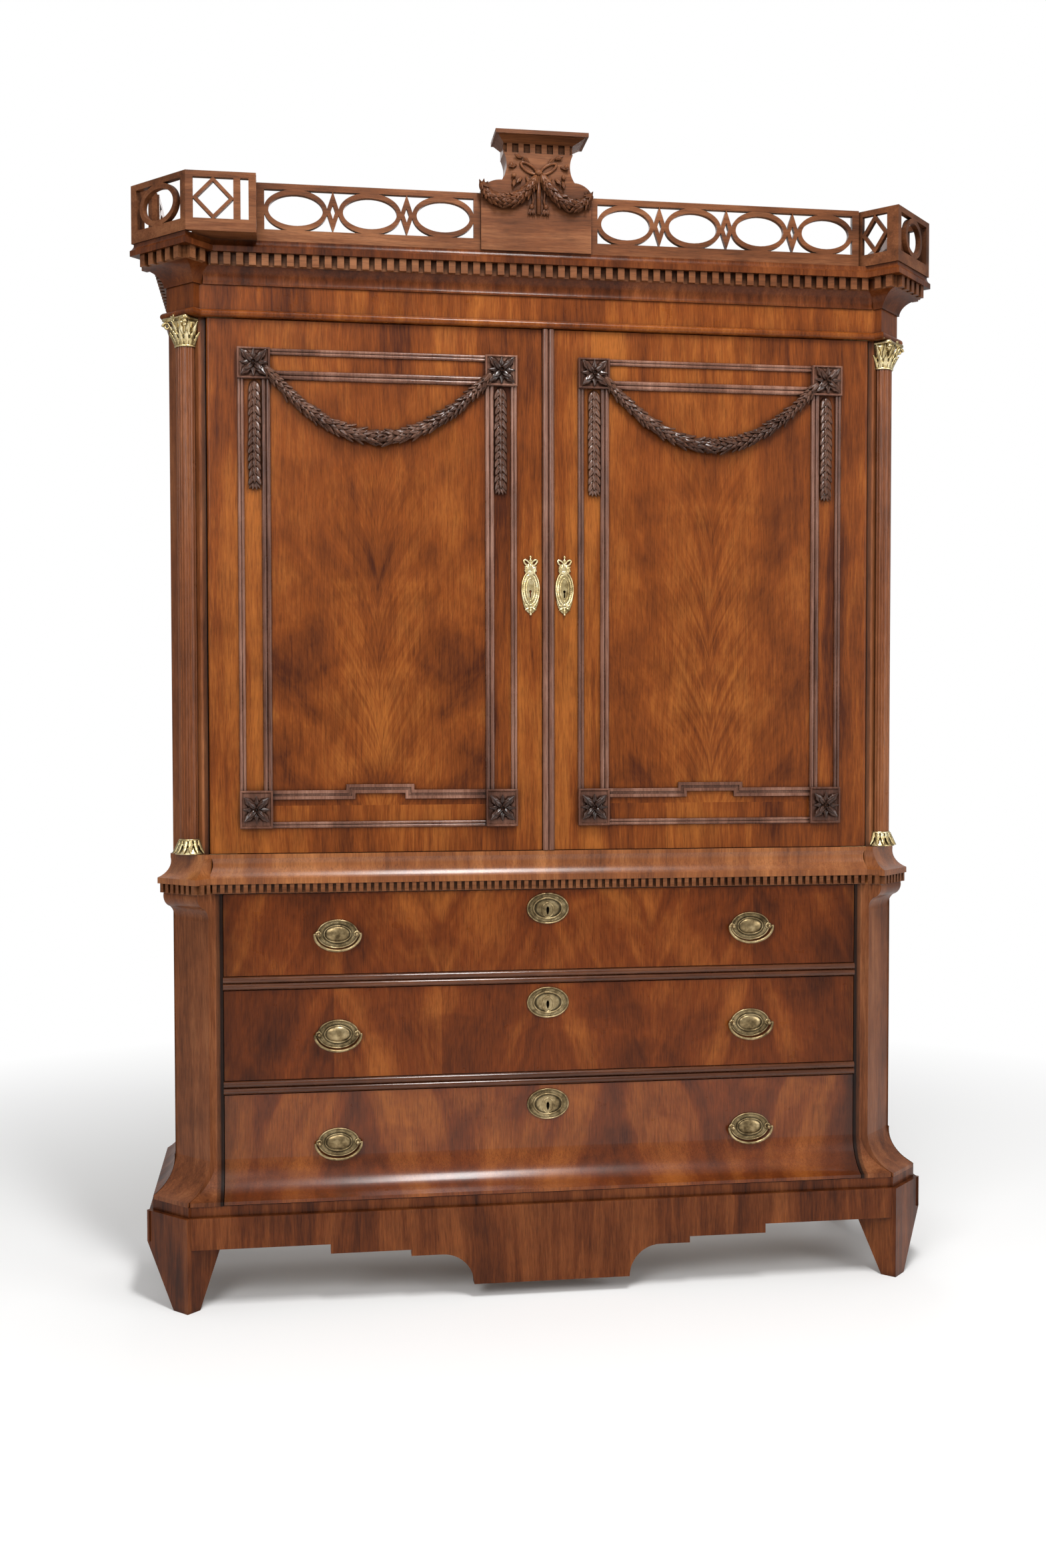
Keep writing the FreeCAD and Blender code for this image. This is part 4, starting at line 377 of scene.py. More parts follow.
def make_materials():
    made = {
        "case": wood("mahogany_case", POST, "z", 0.0, 0.34, 0.12, 1.2),
        "stile": wood("mahogany_stile", DEEP, "z", 3.1),
        "beside_drawer": wood("mahogany_beside_drawer", POST, "z", 0.0, 0.34, 0.12, 1.2, 0.7375),
        "beside_door": wood("mahogany_beside_door", POST, "z", 1.1, 0.34, 0.2, 1.2, 0.7600),
        "frieze": wood("mahogany_frieze", PANEL, "z", 7.7, 0.3, 0.14, 1.2),
        "cross": wood("mahogany_cross", LIGHT, "z", 5.9, 0.25, 0.7, 1.0, soft=0.25),
        "cornice": wood("mahogany_cornice", DEEP, "z", 9.2, 0.3, 0.14, 1.1),
        "level": wood("mahogany_level", BEAD, "x", 1.3, 0.26, 0.6, 0.9),
        "apron": wood("mahogany_apron", DEEP, "z", 5.2, 0.38, 0.1, 1.3),
        "gallery": wood("mahogany_gallery", FRET, "x", 9.4, 0.42, 0.08, 1.1),
        "dentil": wood("mahogany_dentil", FRET, "x", 4.4, 0.4, 0.08),
        "strip": wood("mahogany_strip", STRIP, "z", 2.2, 0.28, 0.3),
        "carved": wood("mahogany_carved", CARVED, "z", 6.1, 0.32, 0.45, 0.9),
        "garland": wood("mahogany_garland", GARLAND, "z", 3.6, 0.34, 0.25, 0.9),
        "crest": wood("mahogany_crest", FRET, "x", 8.3, 0.42, 0.1, 1.1),
        "column": wood("mahogany_column", POST, "z", 12.1, 0.3, 0.25),
        "inner": wood("oak_inside", PALE, "x", 2.7, 0.6, 0.0),
        "inner_up": wood("oak_inside_upright", PALE, "z", 4.9, 0.6, 0.0),
        "door_left": door_paint("flame_door_left", DOORS["left"], 1.7),
        "door_right": door_paint("flame_door_right", DOORS["right"], 6.3),
        "drawer_top": drawer_paint("flame_drawer_top", 0.74, 0.243, 0.42, 2.1),
        "drawer_middle": drawer_paint("flame_drawer_middle", 0.50, 0.243, 0.36, 4.6),
        "drawer_bottom": drawer_paint("flame_drawer_bottom", 0.24, 0.292, 0.30, 8.8, 0.45, 0.19),
        "brass": brass("brass_aged", AGED),
        "gilt": brass("brass_gilt", GILT, 0.27),
        "steel": brass("steel_lock", STEEL, 0.4),
    }
    for row, heights in PLATES.items():
        made["plate_" + row] = brass("brass_plate_" + row, AGED, plate=heights)
    return made


MATS = make_materials()
NODES_OF = {
    "case": ("chest_sides", "corner_pilasters", "press_sides"),
    "beside_drawer": ("front_stiles",),
    "beside_door": ("press_posts",),
    "stile": ("rear_feet",),
    "apron": ("apron_rail", "plinth_rails", "front_feet"),
    "level": ("drawer_dividers",),
    "cross": ("waist_moulding",),
    "dentil": ("waist_dentils", "cornice_dentils"),
    "frieze": ("frieze",),
    "cornice": ("cornice",),
    "gallery": ("gallery", "gallery_pedestals"),
    "crest": ("crest", "crest_carving"),
    "column": ("columns",),
    "inner": ("chest_bottom", "dust_boards", "chest_top_board", "press_boards", "shelves", "cornice_boards"),
    "inner_up": ("chest_back", "press_back"),
    "gilt": ("column_brasses",),
    "brass": ("pivot_pins",),
    "steel": ("door_bolt", "door_rod_lower", "door_rod_upper"),
}
BY_NODE = {node: material for material, group in NODES_OF.items() for node in group}
for row in PLATES:
    word = "drawer_" + row
    BY_NODE[word + "_front"] = word
    BY_NODE[word + "_box"] = "inner"
    BY_NODE[word + "_bolt"] = "steel"
    BY_NODE[word + "_brasses"] = "plate_" + row
    for part in ("bail_left", "bail_right"):
        BY_NODE[word + "_" + part] = "brass"
for side in DOORS:
    BY_NODE["door_%s_panel" % side] = "door_" + side
    BY_NODE["door_%s_frame" % side] = "strip"
    BY_NODE["door_%s_carving" % side] = "carved"
    BY_NODE["door_%s_brasses" % side] = "gilt"


for node_name, node_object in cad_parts.items():
    node_object.data.materials.clear()
    node_object.data.materials.append(MATS[BY_NODE[node_name]])


# ---------------------------------------------------------------- mesh tools

class Shell:
    """Collects the points and faces of one piece. kind is the material of the faces that
    come next: zero for the first, one for the second."""

    def __init__(self):
        self.points = []
        self.faces = []
        self.kinds = []
        self.kind = 0

    def add(self, points, faces, matrix=None):
        base = len(self.points)
        for point in points:
            point = Vector(point)
            self.points.append(matrix @ point if matrix else point)
        self.faces += [tuple(base + index for index in face) for face in faces]
        self.kinds += [self.kind] * len(faces)

    def build(self, name, body, material, smooth=True, second=None):
        mesh = bpy.data.meshes.new(name)
        mesh.from_pydata([tuple(p) for p in self.points], [], self.faces)
        for polygon, kind in zip(mesh.polygons, self.kinds):
            polygon.material_index = kind
        mesh.validate()
        mesh.update()
        obj = bpy.data.objects.new(name, mesh)
        bpy.context.scene.collection.objects.link(obj)
        for polygon in mesh.polygons:
            polygon.use_smooth = smooth
        mesh.materials.append(material)
        if second:
            mesh.materials.append(second)
        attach(obj, body)
        return obj


def tube_faces(rings, around, closed=False):
    """Quads between rings of points, and caps at both ends of an open run."""
    faces = []
    for ring in range(rings if closed else rings - 1):
        here = ring * around
        there = ((ring + 1) % rings) * around
        for index in range(around):
            after = (index + 1) % around
            faces.append((here + index, here + after, there + after, there + index))
    if not closed:
        faces.append(tuple(reversed(range(around))))
        faces.append(tuple((rings - 1) * around + index for index in range(around)))
    return faces


def leaf(length, width, thick, lift=0.0, curl=0.0, lobes=0, steps=7, point=0.8):
    """A carved leaf along +X with a raised rib, its tip lifted off the ground."""
    points = []
    for index in range(steps + 1):
        t = index / steps
        half = width / 2 * math.sin(math.pi * (0.06 + 0.93 * t) ** point) ** 0.8
        if lobes:
            half *= 1.0 - 0.32 * abs(math.sin(lobes * math.pi * t))
        base = lift * t + curl * t * t
        high = thick * (0.35 + 0.65 * math.sin(math.pi * (0.1 + 0.8 * t)))
        x = length * t
        section = ((-1.0, 0.0), (-0.5, 0.75), (-0.12, 0.5), (0.0, 1.0), (0.12, 0.5), (0.5, 0.75), (1.0, 0.0))
        points += [(x, half * aside, base + high * above) for aside, above in section]
        points.append((x, 0.0, base - thick * 0.3))
    return points, tube_faces(steps + 1, 8)


def sphere(radius, rings=6, around=10, flat=1.0):
    points = []
    for ring in range(rings + 1):
        polar = math.pi * (ring + 0.02) / (rings + 0.04)
        for index in range(around):
            turn = FULL_TURN * index / around
            points.append((radius * math.sin(polar) * math.cos(turn),
                           radius * math.sin(polar) * math.sin(turn), radius * flat * math.cos(polar)))
    return points, tube_faces(rings + 1, around)


def frame_at(place, ahead, out):
    """A matrix with +X ahead, +Z outwards."""
    x = Vector(ahead).normalized()
    z = (Vector(out) - x * Vector(out).dot(x)).normalized()
    y = z.cross(x)
    made = Matrix((x, y, z)).transposed().to_4x4()
    made.translation = Vector(place)
    return made


def along(path, count):
    """Points and tangents evenly spaced on a polyline."""
    lengths = [0.0]
    for a, b in zip(path, path[1:]):
        lengths.append(lengths[-1] + (b - a).length)
    spots = []
    for index in range(count):
        want = lengths[-1] * index / (count - 1)
        part = max(i for i, l in enumerate(lengths[:-1]) if l <= want + 1e-9)
        span = lengths[part + 1] - lengths[part]
        share = (want - lengths[part]) / span
        spots.append((path[part].lerp(path[part + 1], share), (path[part + 1] - path[part]).normalized()))
    return spots


def sweep(shell, path, radii, around=10, closed=False, out=OUT, flat=1.0):
    """A round rod along a path in a plane that faces out."""
    points = []
    total = len(path)
    for index, (place, radius) in enumerate(zip(path, radii)):
        before = path[(index - 1) % total] if closed or index else place
        after = path[(index + 1) % total] if closed or index < total - 1 else place
        ahead = (after - before).normalized()
        side = ahead.cross(out).normalized()
        for step in range(around):
            turn = FULL_TURN * step / around
            points.append(place + side * (radius * math.cos(turn)) + out * (radius * flat * math.sin(turn)))
    shell.add(points, tube_faces(total, around, closed))


def oval(x, z, half, high, y, count=48):
    """Points of an upright ellipse."""
    turns = [FULL_TURN * index / count for index in range(count)]
    return [Vector((x + half * math.cos(turn), y, z + high * math.sin(turn))) for turn in turns]


def beads(shell, path, radius, count):
    """Small balls spaced along a closed path."""
    ring = along(path + [path[0]], count + 1)[:-1]
    for place, _ in ring:
        points, faces = sphere(radius, 4, 6)
        shell.add(points, faces, Matrix.Translation(place))


def lathe(shell, profile, matrix, around=28):
    """A turned piece: profile holds (radius, height)."""
    points = []
    for radius, high in profile:
        for index in range(around):
            turn = FULL_TURN * index / around
            points.append((radius * math.cos(turn), radius * math.sin(turn), high))
    shell.add(points, tube_faces(len(profile), around), matrix)


# ---------------------------------------------------------------- carving

def garland(shell, path, thin, thick, count, rng, length=0.034, width=0.016, meet=0.5):
    """A laurel garland: a round core under rows of leaves that point to its middle."""
    core = along(path, count)
    radii = [0.62 * (thin + (thick - thin) * math.sin(math.pi * i / (count - 1))) for i in range(count)]
    lifted = [place + OUT * radius * 0.5 for (place, _), radius in zip(core, radii)]
    sweep(shell, lifted, radii, 10)
    for index, (place, ahead) in enumerate(core):
        share = index / (count - 1)
        radius = thin + (thick - thin) * math.sin(math.pi * share)
        way = ahead if share < meet else -ahead
        side = way.cross(OUT)
        turns = (-78, -39, 0, 39, 78) if index % 2 else (-58, -20, 20, 58)
        for turn in turns:
            angle = math.radians(turn + rng.uniform(-5, 5))
            out = OUT * math.cos(angle) + side * math.sin(angle)
            grow = radius / thick
            spot = place + OUT * radius * 0.3 + out * radius * 0.52
            heading = way + out * rng.uniform(0.16, 0.30) + side * rng.uniform(-0.12, 0.12)
            size = (0.55 + 0.45 * grow) * rng.uniform(0.9, 1.1)
            points, faces = leaf(length * size, width * size, 0.0048 * size, 0.001, 0.0026)
            shell.add(points, faces, frame_at(spot - way * length * size * 0.4, heading, out))


def swag_path(middle, half, top, low, y, count=40):
    """A hanging curve between two points of one height."""
    path = []
    for index in range(count + 1):
        share = -1 + 2 * index / count
        path.append(Vector((middle + half * share, y, low + (top - low) * share * share)))
    return path


def rosette(shell, x, z, y, size):
    """Four broad carved leaves to the corners, four small ones between, and a button."""
    for index in range(4):
        turn = math.radians(45 + 90 * index)
        ahead = Vector((math.cos(turn), 0, math.sin(turn)))
        points, faces = leaf(size * 1.28, size * 0.86, 0.006, 0.004, -0.001, 3, 10, 0.9)
        shell.add(points, faces, frame_at((x, y, z), ahead + OUT * 0.10, OUT))
        points, faces = leaf(size * 0.80, size * 0.46, 0.005, 0.007, 0.001, 0, 8, 0.9)
        shell.add(points, faces, frame_at((x, y - 0.003, z), ahead, OUT))
        turn += math.radians(45)
        ahead = Vector((math.cos(turn), 0, math.sin(turn)))
        points, faces = leaf(size * 0.98, size * 0.50, 0.005, 0.004, 0.001, 2, 8, 0.9)
        shell.add(points, faces, frame_at((x, y - 0.001, z), ahead, OUT))
    for index in range(6):
        turn = math.radians(60 * index + 12)
        ahead = Vector((math.cos(turn), 0, math.sin(turn)))
        points, faces = leaf(size * 0.36, size * 0.26, 0.003, 0.004, 0.003, 0, 6)
        shell.add(points, faces, frame_at((x, y - 0.008, z), ahead + OUT * 0.6, OUT))
    points, faces = sphere(size * 0.15, 6, 10)
    shell.add(points, faces, Matrix.Translation((x, y - 0.010, z)))


def drop(shell, x, top, length, y, rng):
    """A string of leaves in pairs that point down, with a flared end."""
    count = int(length / 0.0165)
    pitch = length / count
    sweep(shell, [Vector((x, y - 0.002, top)), Vector((x, y - 0.002, top - length))], [0.0032, 0.0026], 6)
    for index in range(count):
        z = top - index * pitch
        for side in (-1, 1):
            ahead = Vector((side * rng.uniform(0.42, 0.54), -rng.uniform(0.10, 0.22), -1.0))
            points, faces = leaf(0.031, 0.0145, 0.0052, 0.0, 0.001)
            shell.add(points, faces, frame_at((x, y - 0.002, z), ahead, OUT))
        points, faces = leaf(0.024, 0.0110, 0.0048, 0.0, 0.0006)
        shell.add(points, faces, frame_at((x, y - 0.005, z), (0, -0.1, -1), OUT))
    end = (x, y - 0.002, top - length + 0.004)
    for side in (-1, -0.35, 0.35, 1):
        points, faces = leaf(0.026, 0.009, 0.0036, 0.0, 0.002)
        shell.add(points, faces, frame_at(end, (side * 0.55, -0.12, -1), OUT))


def mitred(shell, left, right, low, high, y, width, rise):
    """A small moulded frame on the face of a block."""
    profile = [(0.0, 0.0), (0.0, rise * 0.55), (width * 0.25, rise), (width * 0.55, rise), (width, 0.0)]
    points = []
    for sx, sz in ((left, low), (right, low), (right, high), (left, high)):
        inward_x = 1 if sx == left else -1
        inward_z = 1 if sz == low else -1
        for inset, out in profile:
            points.append((sx + inward_x * inset, y - out, sz + inward_z * inset))
    shell.add(points, tube_faces(4, len(profile), True))


def door_carvings():
    """Rosettes and rims on the corner blocks, a swag and two leaf drops on each door."""
    block_y = FACE - BLOCK_RISE
    under = FRAME_TOP - BLOCK_TOP
    over = FRAME_LOW + BLOCK_LOW
    for word, middle in DOORS.items():
        rng = random.Random(31 if word == "left" else 47)
        shell = Shell()
        rims = Shell()
        for sign in (-1, 1):
            x = middle + sign * (FRAME_HALF - BLOCK_HALF)
            shell.kind = 0
            rosette(shell, x, FRAME_TOP - BLOCK_TOP / 2, block_y, 0.031)
            rosette(shell, x, FRAME_LOW + BLOCK_LOW / 2, block_y, 0.031)
            shell.kind = 1
            drop(shell, x - sign * 0.001, under - 0.004, 0.219, FACE, rng)
            for low, high in ((under, FRAME_TOP), (FRAME_LOW, over)):
                mitred(rims, x - BLOCK_HALF, x + BLOCK_HALF, low, high, block_y, 0.0065, 0.0035)
        path = swag_path(middle, 0.244, 2.068, 1.928, FACE - 0.004)
        path[0] = path[0] + OUT * 0.008
        path[-1] = path[-1] + OUT * 0.008
        garland(shell, path, 0.0056, 0.0122, 46, rng, 0.032, 0.014)
        done = shell.build("carving_" + word, "door_" + word, MATS["carved"],
                           second=MATS["garland"])
        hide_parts("door_%s_carving" % word)
        rims.build("block_rims_" + word, "door_" + word, MATS["strip"], False)


def crest_carvings():
    """Two laurel swags over the shoulders, a ribbon bow with its band and two tassels."""
    rng = random.Random(5)
    shell = Shell()

    def spot(x, z, out=0.0):
        return Vector((x, FACE - CREST_RISE - out, z))

    def ball(size, flat, rings, around, place):
        points, faces = sphere(size, rings, around, flat)
        shell.add(points, faces, Matrix.Translation(place))

    left = [spot(-0.151, 2.481), spot(-0.140, 2.463), spot(-0.122, 2.453), spot(-0.100, 2.450),
            spot(-0.078, 2.455), spot(-0.058, 2.468), spot(-0.044, 2.484), spot(-0.034, 2.502)]
    right = [spot(0.089, 2.466), spot(0.072, 2.449), spot(0.052, 2.446), spot(0.032, 2.451),
             spot(0.014, 2.463), spot(0.000, 2.479), spot(-0.010, 2.492), spot(-0.016, 2.505)]
    garland(shell, left, 0.007, 0.012, 17, rng, 0.024, 0.013, 0.42)
    garland(shell, right, 0.007, 0.012, 17, rng, 0.024, 0.013, 0.42)
    for side in (-1, 1):
        loop = []
        for index in range(15):
            turn = FULL_TURN * index / 14
            reach = 0.024 * (1 - math.cos(turn)) / 2
            loop.append(spot(KNOT_X + side * (0.004 + reach * 1.5),
                             2.517 + reach * 0.75 + 0.009 * math.sin(turn)))
        sweep(shell, loop, [0.0035] * len(loop), 8)
        for x, z, turn in ((0.030, 2.537, 40), (0.045, 2.548, 15), (0.058, 2.532, -20),
                           (0.046, 2.505, -50), (0.062, 2.500, -80), (0.036, 2.507, -120)):
            ahead = Vector((side * math.cos(math.radians(turn)), -0.2, math.sin(math.radians(turn))))
            points, faces = leaf(0.020, 0.012, 0.004, 0.0, 0.002, 2, 8)
            shell.add(points, faces, frame_at(spot(KNOT_X + side * (x - 0.008), z), ahead, OUT))
        ball(0.0055, 1.0, 5, 8, spot(KNOT_X + side * 0.062, 2.531, 0.003))
        ball(0.0055, 1.0, 5, 8, spot(KNOT_X + side * 0.056, 2.508, 0.003))
        tail = [spot(KNOT_X + side * 0.005, 2.508), spot(KNOT_X + side * 0.016, 2.480),
                spot(KNOT_X + side * 0.012, 2.455), spot(KNOT_X + side * 0.016, 2.437)]
        sweep(shell, tail, [0.003] * 4, 8)
        for fan in (-0.5, -0.2, 0.2, 0.5):
            points, faces = leaf(0.019, 0.007, 0.004, 0.0, 0.001)
            shell.add(points, faces, frame_at(spot(KNOT_X + side * 0.016, 2.440), (fan, -0.15, -1), OUT))
        ball(0.006, 1.0, 5, 8, spot(KNOT_X + side * 0.016, 2.441, 0.002))
        end = left[0] if side < 0 else right[0]
        for turn in (60, 100, 140):
            ahead = Vector((side * math.cos(math.radians(turn)), -0.2, math.sin(math.radians(turn))))
            points, faces = leaf(0.017, 0.010, 0.004, 0.0, 0.002, 2)
            shell.add(points, faces, frame_at(end, ahead, OUT))
    band = [spot(KNOT_X, 2.512), spot(KNOT_X, 2.425)]
    sweep(shell, band, [0.0055, 0.0055], 10)
    ball(0.009, 0.8, 6, 10, spot(KNOT_X, 2.516, 0.002))
    done = shell.build("carving_crest", "carcass", MATS["crest"])
    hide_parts("crest_carving")


# ---------------------------------------------------------------- brasses

def capital(shell, base, axis):
    """A flared bell under two tiers of leaves, two scrolls, a hollow-sided top and a flower."""
    turned = base.to_3x3()
    outward = turned @ Vector((1, 0, 0))
    lathe(shell, [(0.0215, 2.1195), (0.0245, 2.1195), (0.0255, 2.1215), (0.0245, 2.1235), (0.0225, 2.1245),
                  (0.0225, 2.140), (0.0245, 2.156), (0.0290, 2.168), (0.0330, 2.1745), (0.0200, 2.1745)],
          base)
    for count, offset, low, high, curl in ((9, 0.5, 2.1235, 0.029, 0.010), (8, 0.0, 2.127, 0.047, 0.013)):
        for index in range(count):
            turn = math.radians(-112 + 224 * (index + offset) / count)
            out = turned @ Vector((math.cos(turn), math.sin(turn), 0))
            points, faces = leaf(high, 0.018, 0.004, 0.002, curl, 3, 12, 0.62)
            shell.add(points, faces, frame_at(axis + out * 0.0225 + UP * low, UP + out * 0.08, out))
    for turn in (-math.pi / 4, math.pi / 4):
        out = turned @ Vector((math.cos(turn), math.sin(turn), 0))
        centre = axis + out * 0.0415 + UP * 2.1655
        coil = []
        for index in range(22):
            swing = 2.3 * math.pi * index / 21
            reach = 0.0085 * (1 - 0.72 * index / 21)
            coil.append(centre + out * (reach * math.cos(swing)) + UP * (reach * math.sin(swing)))
        sweep(shell, coil, [0.0034 - 0.0012 * i / 21 for i in range(22)], 8, False, UP.cross(out), 1.6)
    outline = []
    for index in range(4):
        corners = []
        for turn in (45 + 90 * index, 135 + 90 * index):
            corners.append(Vector((math.cos(math.radians(turn)), math.sin(math.radians(turn)))) * 0.05168)
        for part in range(6):
            share = part / 6
            pull = 1 - 0.13 * math.sin(math.pi * share)
            outline.append(corners[0].lerp(corners[1], share) * pull)
    points = []
    for size, z in ((0.92, 2.1745), (1.0, 2.1765), (1.0, 2.1805), (0.95, 2.183)):
        points += [(p.x * size, p.y * size, z) for p in outline]
    shell.add(points, tube_faces(4, len(outline)), base)
    for index in range(5):
        turn = math.radians(72 * index)
        ahead = turned @ Vector((0, math.cos(turn), math.sin(turn)))
        points, faces = leaf(0.0085, 0.006, 0.002, 0.001, 0.001)
        shell.add(points, faces, frame_at(axis + outward * 0.0365 + UP * 2.178, ahead, outward))


def column_base(shell, base, axis):
    """A flared foot with leaves that hang over it."""
    turned = base.to_3x3()
    lathe(shell, [(0.0215, 1.0370), (0.0240, 1.0370), (0.0250, 1.0350), (0.0240, 1.0330), (0.0230, 1.0320),
                  (0.0240, 1.0220), (0.0280, 1.0120), (0.0330, 1.0060), (0.0345, 1.0035), (0.0200, 1.0035)],
          base)
    for index in range(9):
        turn = math.radians(-112 + 224 * (index + 0.5) / 9)
        out = turned @ Vector((math.cos(turn), math.sin(turn), 0))
        points, faces = leaf(0.031, 0.016, 0.004, 0.001, 0.008, 3, 10, 0.62)
        shell.add(points, faces, frame_at(axis + out * 0.0235 + UP * 1.0345, out * 0.16 - UP, out))


def column_brasses():
    """Leafy capitals and bases round the canted columns."""
    shell = Shell()
    for side in (-1, 1):
        axis = Vector((side * COLUMN_X, FACE + COLUMN_BACK, 0))
        outward = Vector((side, -1, 0)).normalized()
        base = Matrix((outward, UP.cross(outward), UP)).transposed().to_4x4()
        base.translation = axis
        capital(shell, base, axis)
        column_base(shell, base, axis)
    done = shell.build("capitals_and_bases", "carcass", MATS["gilt"])
    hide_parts("column_brasses")


def handle_trims():
    """Raised rims and ropes of beads on the drawer plates, collars and caps on their posts."""
    collar = [(0.0075, 0.0), (0.0080, 0.0012), (0.0062, 0.0026), (0.0045, 0.0030)]
    y = FACE - 0.0022
    for row, (z, key_z) in PLATES.items():
        shell = Shell()

        def rim(x, middle_z, half, high, out, radius):
            sweep(shell, oval(x, middle_z, half, high, FACE - out), [radius] * 48, 8, True)

        for x in (-HANDLE_X, HANDLE_X):
            rim(x, z, 0.0450, 0.0310, 0.0022, 0.0016)
            rim(x, z, 0.0300, 0.0190, 0.0026, 0.0013)
            beads(shell, oval(x, z, 0.0372, 0.0250, y), 0.0013, 56)
            for sign in (-1, 1):
                points, faces = sphere(0.0046, 6, 10)
                shell.add(points, faces, Matrix.Translation((x + sign * 0.0426, FACE - 0.0150, z)))
                turned = frame_at((x + sign * POST_X, FACE - 0.0018, z), (1, 0, 0), OUT)
                lathe(shell, collar, turned, 16)
        rim(0, key_z, 0.0470, 0.0340, 0.0022, 0.0016)
        rim(0, key_z, 0.0330, 0.0235, 0.0024, 0.0020)
        rim(0, key_z - 0.004, 0.0130, 0.0165, 0.0022, 0.0015)
        beads(shell, oval(0, key_z, 0.0400, 0.0288, y), 0.0013, 60)
        shell.build("drawer_%s_trims" % row, "drawer_" + row, MATS["brass"])


def scutcheon_trims():
    """Wreath, ribbon bow and pendant on the door keyhole plates."""
    y = FACE - 0.002
    z = SCUTCHEON_Z
    for word, x in (("left", -SCUTCHEON_X), ("right", SCUTCHEON_X)):
        shell = Shell()

        def spot(aside, above, out=0.0):
            return Vector((x + aside, y - out, z + above))

        sweep(shell, oval(x, z, 0.0195, 0.0410, y), [0.0022] * 48, 8, True)
        sweep(shell, oval(x, z, 0.0098, 0.0255, y), [0.0015] * 48, 8, True)
        wreath = oval(x, z, 0.0150, 0.0335, y)
        for place, ahead in along(wreath + wreath[:1], 35)[:-1]:
            points, faces = leaf(0.0095, 0.0050, 0.0018, 0.0, 0.0008)
            shell.add(points, faces, frame_at(place, ahead, OUT))
        for side in (-1, 1):
            loop = []
            for index in range(15):
                turn = FULL_TURN * index / 14
                reach = 0.0145 * (1 - math.cos(turn)) / 2
                loop.append(spot(side * (0.001 + reach), 0.056 + reach * 0.6 + 0.0055 * math.sin(turn)))
            sweep(shell, loop, [0.0022] * 15, 8)
            tail = [spot(0, 0.055), spot(side * 0.009, 0.049), spot(side * 0.013, 0.041)]
            sweep(shell, tail, [0.0024, 0.0020, 0.0026], 8)
            for low, turn in ((-0.040, -35), (-0.034, -10), (0.046, 30)):
                ahead = Vector((side * math.cos(math.radians(turn)), -0.1, math.sin(math.radians(turn))))
                points, faces = leaf(0.013, 0.006, 0.0022, 0.0, 0.001, 2)
                shell.add(points, faces, frame_at(spot(side * 0.003, low), ahead, OUT))
        for high, size in ((0.055, 0.0042), (0.066, 0.0036), (0.074, 0.0030), (-0.047, 0.0036),
                           (-0.056, 0.0030)):
            points, faces = sphere(size, 6, 10)
            shell.add(points, faces, Matrix.Translation(spot(0, high, 0.001)))
        sweep(shell, [spot(0, 0.055), spot(0, 0.074)], [0.0026, 0.0022], 8)
        sweep(shell, [spot(0, -0.042), spot(0, -0.057)], [0.0030, 0.0020], 8)
        shell.build("scutcheon_" + word, "door_" + word, MATS["gilt"])


door_carvings()
crest_carvings()
column_brasses()
handle_trims()
scutcheon_trims()


# ---------------------------------------------------------------- stage, camera and light

def seen_rays(tree):
    """One for the rays of the camera and of glass, a little for those of gloss, else zero."""
    path = tree.nodes.new("ShaderNodeLightPath")
    gloss = tree.nodes.new("ShaderNodeMath")
    gloss.operation = "MULTIPLY"
    tree.links.new(path.outputs["Is Glossy Ray"], gloss.inputs[0])
    gloss.inputs[1].default_value = 0.1
    seen = gloss.outputs[0]
    for ray in ("Is Camera Ray", "Is Transmission Ray"):
        both = tree.nodes.new("ShaderNodeMath")
        both.operation = "MAXIMUM"
        tree.links.new(seen, both.inputs[0])
        tree.links.new(path.outputs[ray], both.inputs[1])
        seen = both.outputs[0]
    return seen


def stage():
    """A pale floor that goes over into the white background away from the press."""
    mesh = bpy.data.meshes.new("floor")
    reach = 40.0
    mesh.from_pydata([(-reach, -reach, 0), (reach, -reach, 0), (reach, reach, 0), (-reach, reach, 0)], [],
                     [(0, 1, 2, 3)])
    floor = bpy.data.objects.new("floor", mesh)
    bpy.context.scene.collection.objects.link(floor)
    paint = Paint("floor_pale")
    paint.set("Base Color", (0.86, 0.86, 0.855, 1.0))
    paint.set("Roughness", 0.6)
    paint.set("Specular IOR Level", 0.1)
    glow = paint.tree.nodes.new("ShaderNodeEmission")
    glow.inputs["Color"].default_value = (1, 1, 1, 1)
    glow.inputs["Strength"].default_value = 1.0
    away = paint.calc("SQRT", paint.calc("ADD", paint.calc("MULTIPLY", paint.x, paint.x),
                                         paint.calc("MULTIPLY", paint.y, paint.y)))
    away = paint.ramp(paint.calc("MULTIPLY", away, 0.2), [(0.22, 0.0), (0.62, 1.0)])
    seen = seen_rays(paint.tree)
    both = paint.tree.nodes.new("ShaderNodeMixShader")
    paint.put(both.inputs[0], paint.calc("MULTIPLY", away, seen))
    paint.put(both.inputs[1], paint.shader.outputs[0])
    paint.put(both.inputs[2], glow.outputs[0])
    paint.put(paint.tree.nodes["Material Output"].inputs["Surface"], both.outputs[0])
    mesh.materials.append(paint.mat)


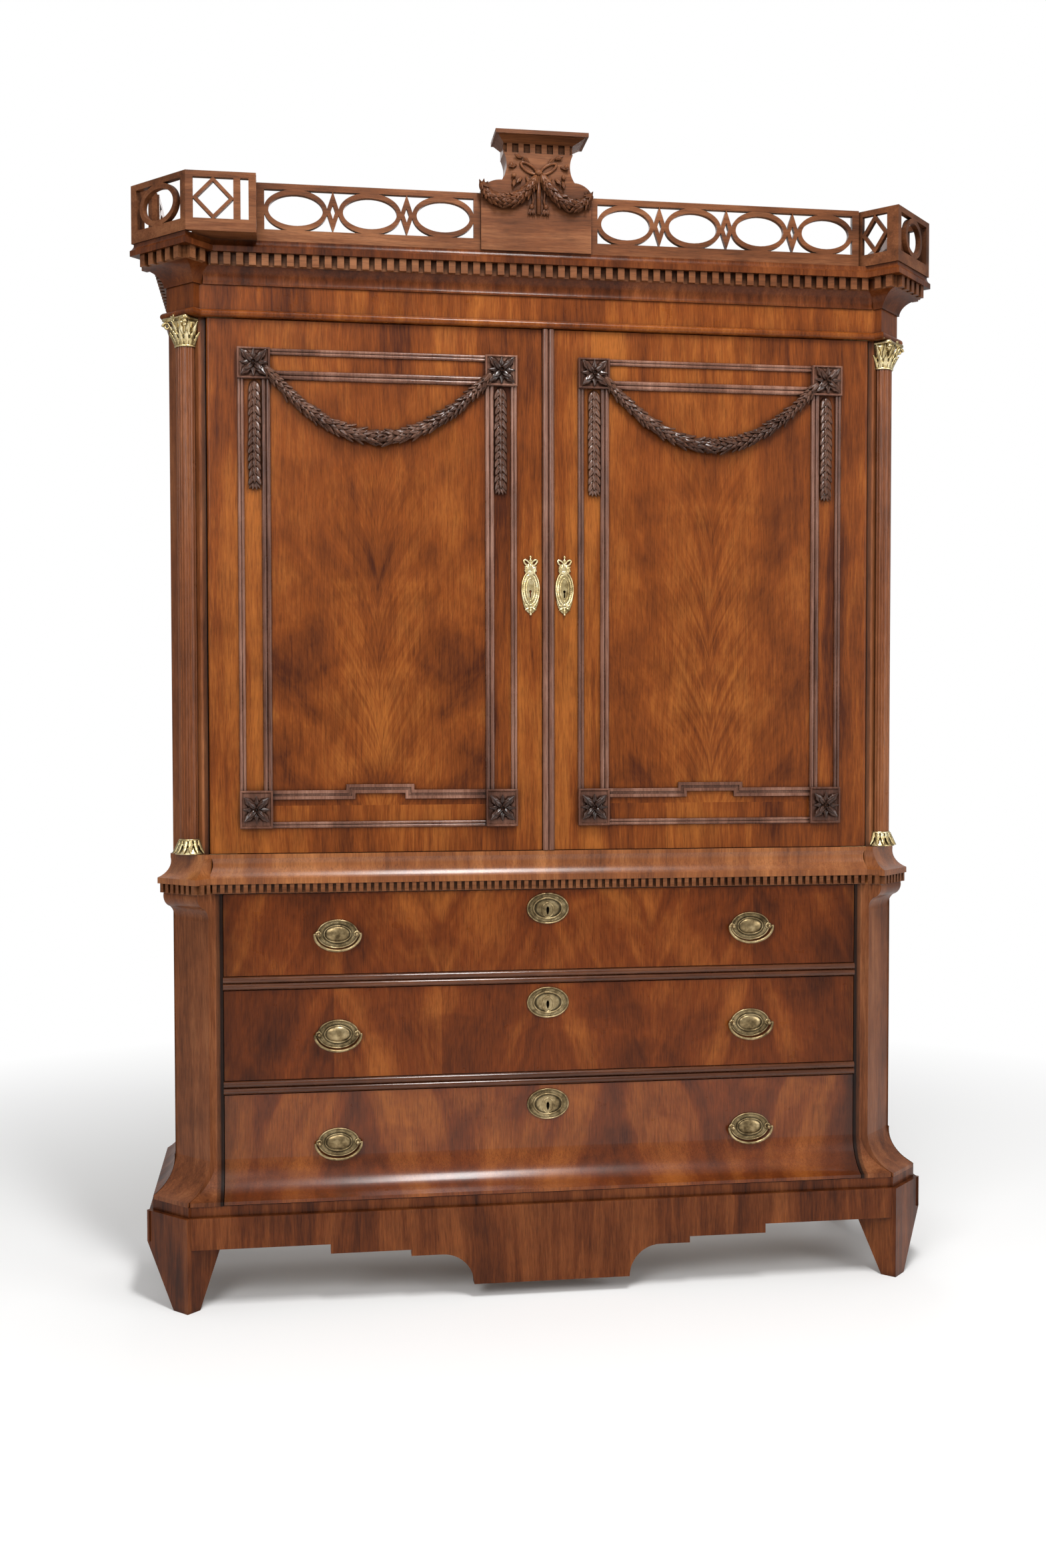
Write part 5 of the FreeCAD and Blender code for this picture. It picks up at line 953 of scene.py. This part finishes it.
def camera():
    """The viewpoint of the photograph. Angles in radians, focal length and shift in pixels."""
    yaw, pitch, roll = 0.14519, -0.03408, -0.00132
    focal, aside, tall = 2386.594, -3.33, 2350
    film = 36.0
    ahead = Vector((math.sin(yaw) * math.cos(pitch), math.cos(yaw) * math.cos(pitch), math.sin(pitch)))
    right = Vector((math.cos(yaw), -math.sin(yaw), 0))
    up = right.cross(ahead)
    across = right * math.cos(roll) + up * math.sin(roll)
    upright = up * math.cos(roll) - right * math.sin(roll)
    data = bpy.data.cameras.new("camera")
    data.sensor_width = film
    data.lens = focal / tall * film
    data.shift_x = aside / tall
    data.clip_end = 200
    cam = bpy.data.objects.new("camera", data)
    matrix = Matrix((across, upright, -ahead)).transposed().to_4x4()
    matrix.translation = Vector((-0.57575, -3.5857 + FACE, 1.27857))
    cam.matrix_world = matrix
    bpy.context.scene.collection.objects.link(cam)
    bpy.context.scene.camera = cam


def lamp(name, place, target, size, energy):
    data = bpy.data.lights.new(name, "AREA")
    data.shape = "RECTANGLE"
    data.size, data.size_y = size
    data.energy = energy
    obj = bpy.data.objects.new(name, data)
    obj.location = place
    obj.rotation_euler = (Vector(target) - Vector(place)).to_track_quat("-Z", "Y").to_euler()
    bpy.context.scene.collection.objects.link(obj)


def light():
    """Soft lamps, a streak of gloss on the mouldings, and a world that the camera sees white."""
    lamp("key", (-2.4, -4.3, 3.4), (0, 0, 1.2), (2.2, 2.2), 122)
    lamp("fill", (3.6, -3.4, 2.0), (0, 0, 1.2), (2.4, 2.4), 75)
    lamp("streak", (0.22, -2.2, 4.5), (-0.1, -0.2, 0.6), (0.5, 1.5), 135)
    lamp("back", (0.5, 3.5, 3.2), (0, 0, 1.4), (2.5, 1.5), 40)
    world = bpy.data.worlds.new("world")
    bpy.context.scene.world = world
    world.use_nodes = True
    tree = world.node_tree
    soft = tree.nodes["Background"]
    soft.inputs[0].default_value = (1, 1, 1, 1)
    soft.inputs[1].default_value = 0.42
    white = tree.nodes.new("ShaderNodeBackground")
    white.inputs[0].default_value = (1, 1, 1, 1)
    white.inputs[1].default_value = 1.0
    mix = tree.nodes.new("ShaderNodeMixShader")
    tree.links.new(seen_rays(tree), mix.inputs[0])
    tree.links.new(soft.outputs[0], mix.inputs[1])
    tree.links.new(white.outputs[0], mix.inputs[2])
    tree.links.new(mix.outputs[0], tree.nodes["World Output"].inputs["Surface"])


stage()
camera()
light()
bpy.context.scene.view_settings.view_transform = "Standard"
